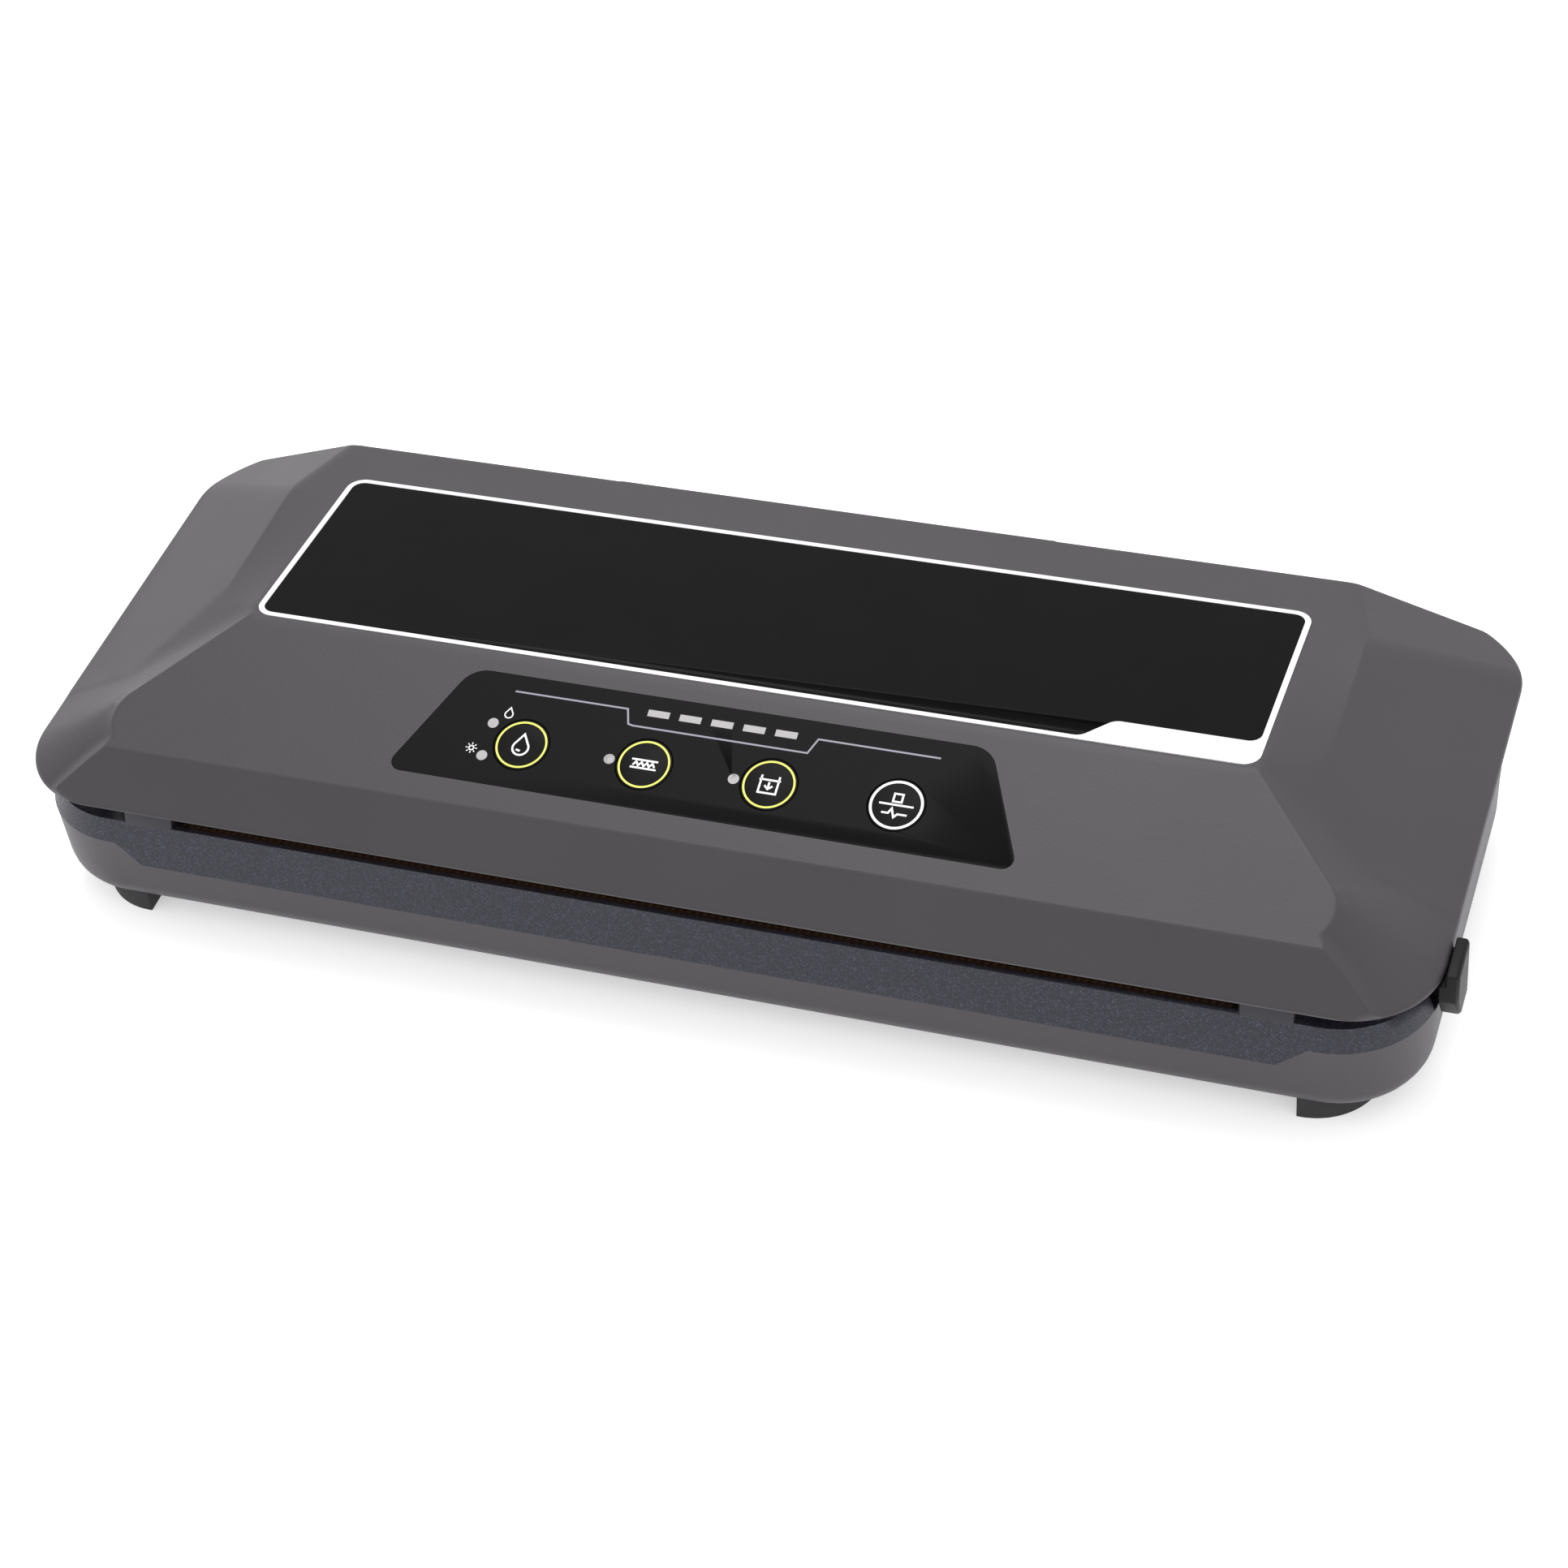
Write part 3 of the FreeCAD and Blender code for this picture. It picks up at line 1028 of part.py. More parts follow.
# ---- hinge pins ----------------------------------------------------------------------
def make_hinge_pins():
    reach = HINGE_LUG / 2 + MOVE_GAP + HINGE_EAR
    names = (("hinge_pin_left", -HINGE_X), ("hinge_pin_right", HINGE_X))
    for name, x in names:
        save(name, rod((x - reach, HINGE_Y, HINGE_Z), (1, 0, 0), HINGE_PIN_R, 2 * reach))


# ---- lid -----------------------------------------------------------------------------
def overlay_shape(grow, z0, z1):
    """Trapezoid of the control overlay on its own sheet."""
    corners = [
        (-OVERLAY_FRONT_HALF - grow, -grow), (OVERLAY_FRONT_HALF + grow, -grow),
        (OVERLAY_REAR_HALF + grow, OVERLAY_LENGTH + grow),
        (-OVERLAY_REAR_HALF - grow, OVERLAY_LENGTH + grow),
    ]
    radii = [OVERLAY_FRONT_R, OVERLAY_FRONT_R, OVERLAY_REAR_R, OVERLAY_REAR_R]
    return plate(corners, radii, z0, z1)


def panel_shape(grow, z0, z1):
    """Rounded rectangle of the top panel frame on its own sheet."""
    return slab(PANEL_HALF + grow, -grow, PANEL_LENGTH + grow, PANEL_R + grow, z0, z1)


def pane_shape(z0, z1):
    """Dark pane inside the frame, cut back where the frame is wide."""
    half = PANEL_HALF - FRAME_BORDER
    rear = PANEL_LENGTH - FRAME_BORDER
    tab_x = half - TAB_LENGTH
    corners = [
        (-half, FRAME_BORDER), (tab_x - TAB_SLANT, FRAME_BORDER), (tab_x, TAB_WIDTH),
        (half, TAB_WIDTH), (half, rear), (-half, rear),
    ]
    radii = [PANEL_R - FRAME_BORDER, 4, 4, 3.4, PANEL_R - FRAME_BORDER, PANEL_R - FRAME_BORDER]
    return plate(corners, radii, z0, z1)


def lens_spots():
    """Centres of the round lamps on the control sheet."""
    out = BUTTON_R + LENS_GAP
    return [(BUTTON_XS[b] - out, BUTTON_V + rise) for b, rise in zip(LENS_BUTTON, LENS_RISE)]


def bar_lens_xs():
    """Centres of the five progress lamps."""
    return [BAR_LENS_PITCH * (i - 2) for i in range(5)]


def lamp_shapes(grow, z0, z1):
    """Round and bar lamps on the control sheet."""
    round_ones = [rod((x, v, z0), (0, 0, 1), LENS_R + grow, z1 - z0) for x, v in lens_spots()]
    half_l = BAR_LENS_LENGTH / 2 + grow
    half_h = BAR_LENS_HEIGHT / 2 + grow
    bars = [
        box(x - half_l, x + half_l, BAR_LENS_V - half_h, BAR_LENS_V + half_h, z0, z1)
        for x in bar_lens_xs()
    ]
    return round_ones, bars


def board_posts(radius, z0, z1):
    """Four posts that carry the control board."""
    spots = [
        (sx * (CONTROL_BOARD_HALF - 4), v) for sx in (-1, 1) for v in (5, CONTROL_BOARD_LENGTH - 3)
    ]
    return [rod((x, v, z0), (0, 0, 1), radius, z1 - z0) for x, v in spots]


def hinge_lugs():
    """Lugs that hang from the lid roof to the hinge axis."""
    lugs = []
    for x in (-HINGE_X, HINGE_X):
        x0 = x - HINGE_LUG / 2
        arm = box(x0, x0 + HINGE_LUG, HINGE_Y - LUG_DEPTH / 2, HINGE_Y + LUG_DEPTH / 2, HINGE_Z, RIDGE_Z)
        lugs.append(arm.fuse(rod((x0, HINGE_Y, HINGE_Z), (1, 0, 0), HINGE_HUB_R, HINGE_LUG)))
    return lugs


def make_lid_shell():
    outer = lid_block(0, RIM_Z)
    inner = lid_block(LID_WALL, RIM_Z - 1)
    roof = lid_block(LID_WALL / 2, RIM_Z - 1)
    shell = outer.cut(inner)
    posts = [on_control(p) for p in board_posts(3, -CONTROL_BOARD_DEPTH, 0)]
    posts += liner_posts(LINER_TOP_Z + LINER_PAD, RIDGE_Z)
    lugs = hinge_lugs()
    under = box(
        -LID_HALF + LID_REAR_R, LID_HALF - LID_REAR_R, HINGE_Y - 2 * HINGE_HUB_R, HINGE_Y + 6,
        HINGE_Z - 2 * HINGE_HUB_R, RIM_Z + PASS,
    )
    inside = fuse_all(roof, [under])
    shell = fuse_all(shell, [p.common(inside) for p in posts + lugs])
    reach = HINGE_LUG / 2 + 1
    holes = [
        rod((x - reach, HINGE_Y, HINGE_Z), (1, 0, 0), HINGE_PIN_R + PIN_FIT, 2 * reach)
        for x in (-HINGE_X, HINGE_X)
    ]
    holes.append(on_top(panel_shape(FIT_GAP, -PANEL_THICK, 5)))
    holes.append(on_control(overlay_shape(FIT_GAP, -OVERLAY_THICK, 5)))
    low = -LID_WALL - PASS
    for x in BUTTON_XS:
        holes.append(on_control(rod((x, BUTTON_V, low), (0, 0, 1), BUTTON_R + BUTTON_GAP, PASS - low)))
    round_ones, bars = lamp_shapes(FIT_GAP, -LID_WALL - 1, 1)
    holes += [on_control(s) for s in round_ones + bars]
    holes += [on_control(p) for p in board_posts(1.1, -CONTROL_BOARD_DEPTH - 1, -LID_WALL - 1)]
    bore = LINER_SCREW + 3 * PASS
    holes += [rod((x, y, LINER_Z), (0, 0, 1), SCREW_R, bore) for x, y in liner_screw_spots()]
    save("lid_shell", cut_all(shell, holes))


def liner_screw_spots():
    """Centres of the screws that hold the liner in the lid."""
    return [(sx * x, y) for x, y in ((CHAMBER_HALF + 6, 24), (60, 50), (60, -14)) for sx in (-1, 1)]


def liner_posts(z0, z1):
    """Screw posts between liner and lid roof."""
    return [rod((x, y, z0), (0, 0, 1), BOSS_R, z1 - z0) for x, y in liner_screw_spots()]


def keeper_y():
    """Rear face of the latch keeper, just in front of the locked hook's arm."""
    swing = math.radians(LATCH_SWING) * (HOOK_Z - LATCH_Z)
    return LATCH_Y - ARM_DEPTH / 2 - swing - MOVE_GAP - FIT_GAP


def make_lid_liner():
    edge = LID_WALL + FIT_GAP
    top = LINER_TOP_Z
    sheet = plate(
        rect(LID_HALF - edge, LID_FRONT_Y + edge, LID_REAR_Y - edge),
        [LID_FRONT_R - edge, LID_FRONT_R - edge, LID_REAR_R - edge, LID_REAR_R - edge],
        LINER_Z, top,
    )
    seat = LINER_Z + SCREW_HEAD + SCREW_SINK
    hold_y0 = CHANNEL_Y + STRIP_FRONT
    hold_y1 = CHANNEL_END_Y - STRIP_REAR
    holder = box(
        -BAR_HALF + PASS, BAR_HALF - PASS, hold_y0 - HOLDER_WALL, hold_y1 + HOLDER_WALL,
        RIM_Z - HOLDER_DROP, top,
    )
    ring_back = gasket_ring(LINER_Z, top + GASKET_SEAT, 1.5)
    pads = liner_posts(LINER_Z, top + LINER_PAD)
    liner = fuse_all(sheet, [holder, ring_back] + pads).common(lid_block(edge, LINER_Z - 5))
    holes = [
        box(-BAR_HALF + BAR_WALL, BAR_HALF - BAR_WALL, hold_y0, hold_y1, RIM_Z - HOLDER_DROP - PASS,
            top - HOLDER_ROOF),
        gasket_ring(LINER_Z - 1, LINER_Z + GASKET_SEAT, FIT_GAP),
    ]
    opening = box(
        ARM_X - ARM_THICK / 2 - 2, ARM_X + ARM_THICK / 2 + 2,
        keeper_y(), LATCH_Y + ARM_DEPTH / 2 + 4, LINER_Z - 1, top + 5,
    )
    holes += both(opening)
    for x in (-HINGE_X, HINGE_X):
        reach = HINGE_LUG / 2 + MOVE_GAP + HINGE_EAR + 1
        holes.append(box(x - reach, x + reach, HINGE_Y - 9, HINGE_Y + 7, LINER_Z - 1, top + 3))
    for x, y in liner_screw_spots():
        holes.append(rod((x, y, LINER_Z - PASS), (0, 0, 1), SCREW_R + HOLE_GAP, LINER_PAD + 4 * PASS))
        holes.append(rod((x, y, LINER_Z - PASS), (0, 0, 1), SCREW_HEAD_R + HEAD_GAP, seat - LINER_Z + PASS))
    save("lid_liner", cut_all(liner, holes))
    strip_half = BAR_HALF - BAR_WALL - FIT_GAP
    strip = box(
        -strip_half, strip_half, hold_y0 + FIT_GAP, hold_y1 - FIT_GAP,
        TAPE_TOP_Z + MOVE_GAP, top - HOLDER_ROOF,
    )
    save("pressure_strip", strip)
    base_top = DECK_Z - GASKET_SEAT + GASKET_HEIGHT
    save("lid_gasket", gasket_ring(base_top + MOVE_GAP, LINER_Z + GASKET_SEAT, 0))
    keeper = side_profile(
        [
            (keeper_y(), top), (keeper_y(), HOOK_Z - 2.2), (keeper_y() - 2.6, HOOK_Z - 2.2),
            (keeper_y() - 2.6, top + 1.2), (keeper_y() - 7, top + 1.2), (keeper_y() - 7, top),
        ],
        ARM_X - ARM_THICK / 2 - 3, ARM_X + ARM_THICK / 2 + 3,
    )
    save("latch_keepers", both(keeper))
    save("liner_screws", [screw(x, y, seat, LINER_SCREW - SCREW_HEAD) for x, y in liner_screw_spots()])


# ---- lid trim ------------------------------------------------------------------------
def make_lid_trim():
    frame = panel_shape(0, -PANEL_THICK, FRAME_PROUD).cut(pane_shape(-PANEL_THICK - 1, 2))
    save("panel_frame", on_top(frame))
    save("top_panel", on_top(pane_shape(-PANEL_THICK, 0)))
    sheet = overlay_shape(0, -OVERLAY_THICK, 0)
    holes = [
        rod((x, BUTTON_V, -OVERLAY_THICK - 1), (0, 0, 1), BUTTON_R + BUTTON_GAP, OVERLAY_THICK + 2)
        for x in BUTTON_XS
    ]
    round_ones, bars = lamp_shapes(0, -OVERLAY_THICK - 1, 1)
    save("control_overlay", on_control(cut_all(sheet, holes + round_ones + bars)))
    round_ones, bars = lamp_shapes(0, -LID_WALL, 0)
    save("status_lenses", [on_control(s) for s in round_ones])
    save("progress_lenses", [on_control(s) for s in bars])


def make_buttons():
    flange_top = -LID_WALL - BUTTON_TRAVEL / 5
    stem_end = -CONTROL_BOARD_DEPTH + SWITCH_HEIGHT + BUTTON_TRAVEL + 0.1
    names = ("button_mode", "button_seal", "button_vacuum_seal", "button_stop")
    for name, x in zip(names, BUTTON_XS):
        cap = rod((x, BUTTON_V, flange_top - FLANGE_THICK), (0, 0, 1), BUTTON_R, -flange_top + FLANGE_THICK)
        cap = cap.makeFillet(0.3, [e for e in cap.Edges if e.BoundBox.ZMin > -0.01])
        low = flange_top - FLANGE_THICK
        flange = rod((x, BUTTON_V, low), (0, 0, 1), BUTTON_R + BUTTON_FLANGE, FLANGE_THICK)
        stem = rod((x, BUTTON_V, stem_end), (0, 0, 1), BUTTON_STEM_R, -stem_end - 1)
        save(name, on_control(fuse_all(cap, [flange, stem])))


def make_control_board():
    top = -CONTROL_BOARD_DEPTH
    board = slab(CONTROL_BOARD_HALF, 1, CONTROL_BOARD_LENGTH + 1, 2, top - BOARD_THICK, top)
    board = cut_all(board, board_posts(1.3, top - BOARD_THICK - 1, top + 1))
    save("control_board", on_control(board))
    switches = []
    for x in BUTTON_XS:
        half = SWITCH_SIZE / 2
        can = box(x - half, x + half, BUTTON_V - half, BUTTON_V + half, top, top + SWITCH_HEIGHT - 0.8)
        pip = rod((x, BUTTON_V, top + SWITCH_HEIGHT - 1), (0, 0, 1), 1.6, 1)
        switches.append(on_control(fuse_all(can, [pip])))
    save("tact_switches", switches)
    led_top = -LID_WALL - LED_GAP
    leds = [box(x - 1, x + 1, v - 0.8, v + 0.8, top, led_top) for x, v in lens_spots()]
    leds += [box(x - 1, x + 1, BAR_LENS_V - 0.8, BAR_LENS_V + 0.8, top, led_top) for x in bar_lens_xs()]
    save("indicator_leds", [on_control(led) for led in leds])
    heads = board_posts(2.2, top - BOARD_THICK - 1.5, top - BOARD_THICK)
    shanks = board_posts(1.1 - SCREW_GRIP, top - BOARD_THICK - 0.5, top + 4)
    save("control_board_screws", [on_control(fuse_all(h, [s])) for h, s in zip(heads, shanks)])


# ---- build ---------------------------------------------------------------------------
os.makedirs("parts", exist_ok=True)
shell_outer = base_block(0)
save("base_shell", make_base_shell(shell_outer))
save("base_deck", make_base_deck())
make_seal_parts()
make_feet(shell_outer)
make_housing_screws()
make_latch()
make_pump()
make_hose()
make_valve()
make_electrics()
make_hinge_pins()
make_lid_shell()
make_lid_liner()
make_lid_trim()
make_buttons()
make_control_board()
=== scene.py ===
import json
import math

import bpy
import numpy as np
from mathutils import Matrix, Vector
from mathutils.geometry import delaunay_2d_cdt

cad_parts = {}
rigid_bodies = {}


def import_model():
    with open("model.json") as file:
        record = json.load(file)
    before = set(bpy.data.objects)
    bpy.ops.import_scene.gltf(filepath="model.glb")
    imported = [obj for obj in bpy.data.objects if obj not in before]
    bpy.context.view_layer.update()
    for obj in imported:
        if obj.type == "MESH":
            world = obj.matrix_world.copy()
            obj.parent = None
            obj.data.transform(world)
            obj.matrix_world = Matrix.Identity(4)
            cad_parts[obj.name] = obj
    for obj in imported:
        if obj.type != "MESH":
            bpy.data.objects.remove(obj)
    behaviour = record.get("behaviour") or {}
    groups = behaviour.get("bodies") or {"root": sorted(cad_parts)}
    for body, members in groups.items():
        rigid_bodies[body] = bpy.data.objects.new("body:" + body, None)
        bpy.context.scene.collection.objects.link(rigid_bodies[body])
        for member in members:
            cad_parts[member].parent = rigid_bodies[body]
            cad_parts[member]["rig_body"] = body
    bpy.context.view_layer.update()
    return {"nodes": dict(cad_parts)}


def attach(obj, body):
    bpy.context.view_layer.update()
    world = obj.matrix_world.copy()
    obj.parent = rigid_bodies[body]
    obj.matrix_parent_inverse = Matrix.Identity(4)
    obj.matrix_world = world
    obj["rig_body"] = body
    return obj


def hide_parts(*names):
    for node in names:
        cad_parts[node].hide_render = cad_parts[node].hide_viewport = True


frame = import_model()
mm = 0.001
print("stage: frame loaded")


# ---- small helpers: selection, applying, mesh finishing ----
def deselectAll():
    if bpy.context.mode != "OBJECT":
        bpy.ops.object.mode_set(mode="OBJECT")
    bpy.ops.object.select_all(action="DESELECT")


def makeActive(piece):
    deselectAll()
    piece.select_set(True)
    bpy.context.view_layer.objects.active = piece


def applyPlace(piece):
    makeActive(piece)
    bpy.ops.object.transform_apply(location=True, rotation=True, scale=True)


def applyModifier(piece, kind, **settings):
    makeActive(piece)
    modifier = piece.modifiers.new(kind.lower(), kind)
    for key, value in settings.items():
        setattr(modifier, key, value)
    bpy.ops.object.modifier_apply(modifier=modifier.name)


def smoothShade(piece, angle=30):
    makeActive(piece)
    bpy.ops.object.shade_smooth_by_angle(angle=math.radians(angle))


def editAll(piece, *steps):  # runs each step in edit mode with everything selected
    makeActive(piece)
    bpy.ops.object.mode_set(mode="EDIT")
    for step in steps:
        bpy.ops.mesh.select_all(action="SELECT")
        step()
    bpy.ops.object.mode_set(mode="OBJECT")


def faceOutward():
    bpy.ops.mesh.normals_make_consistent(inside=False)


def mergePoints(piece, distance=0.002 * mm):
    editAll(piece, lambda: bpy.ops.mesh.remove_doubles(threshold=distance))


def newPiece(name, points, faces):  # object with a mesh of its own, from points in mm
    mesh = bpy.data.meshes.new(name)
    mesh.from_pydata([(x * mm, y * mm, z * mm) for x, y, z in points], [], faces)
    piece = bpy.data.objects.new(name, mesh)
    bpy.context.scene.collection.objects.link(piece)
    return piece


def paint(piece, material):
    piece.data.materials.clear()
    piece.data.materials.append(material)


def joinPieces(pieces, name):
    deselectAll()
    for piece in pieces:
        piece.select_set(True)
    bpy.context.view_layer.objects.active = pieces[0]
    bpy.ops.object.join()
    pieces[0].name = name
    return pieces[0]


# ---- colours and nodes ----
def linear(hexColour):  # sRGB hex to the linear values that shaders use
    values = [int(hexColour[i:i + 2], 16) / 255 for i in (1, 3, 5)]
    return tuple(v / 12.92 if v <= 0.04045 else ((v + 0.055) / 1.055) ** 2.4 for v in values) + (1.0,)


def addNode(tree, kind, settings=None, links=None):  # one node with its values and its incoming links
    node = tree.nodes.new(kind)
    for key, value in (settings or {}).items():
        if key in node.inputs:
            node.inputs[key].default_value = value
        else:
            setattr(node, key, value)
    for key, source in (links or {}).items():
        tree.links.new(source, node.inputs[key])
    return node


def newMaterial(name):
    material = bpy.data.materials.new(name)
    material.use_nodes = True
    tree = material.node_tree
    tree.nodes.clear()
    shader = addNode(tree, "ShaderNodeBsdfPrincipled")
    output = addNode(tree, "ShaderNodeOutputMaterial")
    tree.links.new(shader.outputs["BSDF"], output.inputs["Surface"])
    place = addNode(tree, "ShaderNodeTexCoord").outputs["Object"]
    return material, tree, shader, place


def colourMix(tree, factor, low, high):  # blends two hex colours by a pattern
    mix = addNode(tree, "ShaderNodeMix", {"data_type": "RGBA"})
    mix.inputs[6].default_value = linear(low)
    mix.inputs[7].default_value = linear(high)
    tree.links.new(factor, mix.inputs[0])
    return mix.outputs[2]


def spread(tree, factor, low, high):  # maps a 0..1 pattern onto a range
    limits = {"To Min": low, "To Max": high}
    return addNode(tree, "ShaderNodeMapRange", limits, {"Value": factor}).outputs["Result"]


def bumpFrom(tree, shader, height, depthMm, strength=1.0):
    settings = {"Strength": strength, "Distance": depthMm * mm}
    bump = addNode(tree, "ShaderNodeBump", settings, {"Height": height})
    tree.links.new(bump.outputs["Normal"], shader.inputs["Normal"])


def tint(tree, shader, pattern, dark, light):  # base colour that follows a pattern
    tree.links.new(colourMix(tree, pattern, dark, light), shader.inputs["Base Color"])


def roughen(tree, shader, pattern, low, high):  # roughness that follows a pattern
    tree.links.new(spread(tree, pattern, low, high), shader.inputs["Roughness"])


def perMm(sizeMm):  # texture scale for a feature of that size
    return 1.0 / (sizeMm * mm)


# ---- materials ----
def sparkTexturedAbs(name, dark, light, roughness=0.46, grain=0.9, depth=0.035, gloss=0.32):
    # ABS from a spark-eroded mould: an even matt grain that softens every highlight
    material, tree, shader, place = newMaterial(name)
    cloud = addNode(tree, "ShaderNodeTexNoise", {"Scale": perMm(38), "Detail": 3.0}, {"Vector": place})
    fine = addNode(tree, "ShaderNodeTexNoise", {"Scale": perMm(grain), "Detail": 2.0}, {"Vector": place})
    blend = addNode(tree, "ShaderNodeMath", {"operation": "MULTIPLY_ADD"}, {0: fine.outputs["Fac"]})
    blend.inputs[1].default_value = 0.35
    tree.links.new(cloud.outputs["Fac"], blend.inputs[2])
    tint(tree, shader, blend.outputs[0], dark, light)
    roughen(tree, shader, cloud.outputs["Fac"], roughness - 0.05, roughness + 0.07)
    shader.inputs["IOR"].default_value = 1.53
    shader.inputs["Specular IOR Level"].default_value = gloss
    bumpFrom(tree, shader, fine.outputs["Fac"], depth)
    return material


def fleckedAbs(name):
    # ABS filled with aluminium flake: dark blue grey with fine bright specks that sit at all angles
    material, tree, shader, place = newMaterial(name)
    flake = addNode(tree, "ShaderNodeTexVoronoi", {"Scale": perMm(0.26)}, {"Vector": place})
    split = addNode(tree, "ShaderNodeSeparateColor", None, {"Color": flake.outputs["Color"]})
    limits = {"From Min": 0.7, "From Max": 1.0}
    chosen = addNode(tree, "ShaderNodeMapRange", limits, {"Value": split.outputs["Red"]})
    fine = addNode(tree, "ShaderNodeTexNoise", {"Scale": perMm(0.45), "Detail": 2.0}, {"Vector": place})
    body = colourMix(tree, fine.outputs["Fac"], "#1f1f28", "#282831")
    mix = addNode(tree, "ShaderNodeMix", {"data_type": "RGBA"})
    tree.links.new(chosen.outputs["Result"], mix.inputs[0])
    tree.links.new(body, mix.inputs[6])
    mix.inputs[7].default_value = linear("#4c4d5e")
    tree.links.new(mix.outputs[2], shader.inputs["Base Color"])
    tree.links.new(spread(tree, chosen.outputs["Result"], 0.0, 0.5), shader.inputs["Metallic"])
    roughen(tree, shader, split.outputs["Green"], 0.36, 0.52)
    shader.inputs["Specular IOR Level"].default_value = 0.35
    bumpFrom(tree, shader, split.outputs["Blue"], 0.02, 0.5)
    return material


def polishedAcrylic(name):
    # black back-printed acrylic: deep and even, with faint handling haze
    material, tree, shader, place = newMaterial(name)
    haze = addNode(tree, "ShaderNodeTexNoise", {"Scale": perMm(22), "Detail": 5.0}, {"Vector": place})
    tint(tree, shader, haze.outputs["Fac"], "#0c0b0c", "#100f10")
    roughen(tree, shader, haze.outputs["Fac"], 0.16, 0.24)
    shader.inputs["Specular IOR Level"].default_value = 0.05
    ripple = addNode(tree, "ShaderNodeTexNoise", {"Scale": perMm(30)}, {"Vector": place})
    bumpFrom(tree, shader, ripple.outputs["Fac"], 0.02, 0.3)
    return material


def polyesterFilm(name, dark, light, roughness=0.42):
    # screen-printed polyester film: black, slightly pebbled so that finger marks don't show
    material, tree, shader, place = newMaterial(name)
    pebble = addNode(tree, "ShaderNodeTexVoronoi", {"Scale": perMm(0.5)}, {"Vector": place})
    haze = addNode(tree, "ShaderNodeTexNoise", {"Scale": perMm(9), "Detail": 3.0}, {"Vector": place})
    tint(tree, shader, haze.outputs["Fac"], dark, light)
    roughen(tree, shader, haze.outputs["Fac"], roughness - 0.04, roughness + 0.05)
    shader.inputs["Specular IOR Level"].default_value = 0.07
    bumpFrom(tree, shader, pebble.outputs["Distance"], 0.012, 0.5)
    return material


def printedInk(name, dark, light):
    # opaque screen ink: flat colour with tiny pinholes and a soft sheen
    material, tree, shader, place = newMaterial(name)
    speck = addNode(tree, "ShaderNodeTexNoise", {"Scale": perMm(0.4), "Detail": 2.0}, {"Vector": place})
    tint(tree, shader, speck.outputs["Fac"], dark, light)
    roughen(tree, shader, speck.outputs["Fac"], 0.42, 0.55)
    bumpFrom(tree, shader, speck.outputs["Fac"], 0.006, 0.5)
    return material


def satinSilver(name):
    # vacuum-metallised trim under a satin lacquer: nearly white, with a faint lengthwise drawing
    material, tree, shader, place = newMaterial(name)
    stretch = addNode(tree, "ShaderNodeMapping", {"Scale": (0.04, 1.0, 1.0)}, {"Vector": place})
    drawn = {"Vector": stretch.outputs["Vector"]}
    lines = addNode(tree, "ShaderNodeTexNoise", {"Scale": perMm(0.5), "Detail": 3.0}, drawn)
    tint(tree, shader, lines.outputs["Fac"], "#dcdcdf", "#f4f4f6")
    roughen(tree, shader, lines.outputs["Fac"], 0.30, 0.42)
    shader.inputs["Metallic"].default_value = 0.35
    bumpFrom(tree, shader, lines.outputs["Fac"], 0.01, 0.5)
    return material


def frostedLens(name):
    # frosted polycarbonate light guide, unlit: milky grey that lets a little light in
    material, tree, shader, place = newMaterial(name)
    frost = addNode(tree, "ShaderNodeTexNoise", {"Scale": perMm(0.6), "Detail": 3.0}, {"Vector": place})
    tint(tree, shader, frost.outputs["Fac"], "#9d9b9b", "#b7b5b5")
    roughen(tree, shader, frost.outputs["Fac"], 0.38, 0.50)
    bumpFrom(tree, shader, frost.outputs["Fac"], 0.01, 0.5)
    return material


def mouldedRubber(name, dark, light, grain=0.7):
    # moulded rubber: matt, slightly dusty, with a fine grain
    material, tree, shader, place = newMaterial(name)
    dust = addNode(tree, "ShaderNodeTexNoise", {"Scale": perMm(12), "Detail": 5.0}, {"Vector": place})
    fine = addNode(tree, "ShaderNodeTexNoise", {"Scale": perMm(grain), "Detail": 2.0}, {"Vector": place})
    tint(tree, shader, dust.outputs["Fac"], dark, light)
    roughen(tree, shader, dust.outputs["Fac"], 0.68, 0.85)
    bumpFrom(tree, shader, fine.outputs["Fac"], 0.05)
    return material


def spongeRubber(name):
    # closed-cell sponge: small round pores all over, each coloured darker towards its middle as painted shade
    # in the hollow
    material, tree, shader, place = newMaterial(name)
    pores = addNode(tree, "ShaderNodeTexVoronoi", {"Scale": perMm(0.8)}, {"Vector": place})
    # painted shade: the colour darkens with each pore's depth, following the same pattern as the bump
    tint(tree, shader, pores.outputs["Distance"], "#141415", "#2c2c2e")
    shader.inputs["Roughness"].default_value = 0.85
    bumpFrom(tree, shader, pores.outputs["Distance"], 0.15)
    return material


def wovenPtfe(name):
    # PTFE-coated glass cloth: brown, waxy, with an over-and-under weave
    material, tree, shader, place = newMaterial(name)
    waveTurn = 6.2832  # the wave texture's band repeats after this many units
    threads = {"Scale": perMm(1.1) / waveTurn, "wave_type": "BANDS"}
    warp = addNode(tree, "ShaderNodeTexWave", dict(threads, bands_direction="X"), {"Vector": place})
    weft = addNode(tree, "ShaderNodeTexWave", dict(threads, bands_direction="Y"), {"Vector": place})
    crossing = {0: warp.outputs["Fac"], 1: weft.outputs["Fac"]}
    weave = addNode(tree, "ShaderNodeMath", {"operation": "MULTIPLY"}, crossing)
    tint(tree, shader, weave.outputs[0], "#1c130c", "#4a3422")
    shader.inputs["Roughness"].default_value = 0.4
    bumpFrom(tree, shader, weave.outputs[0], 0.12)
    return material


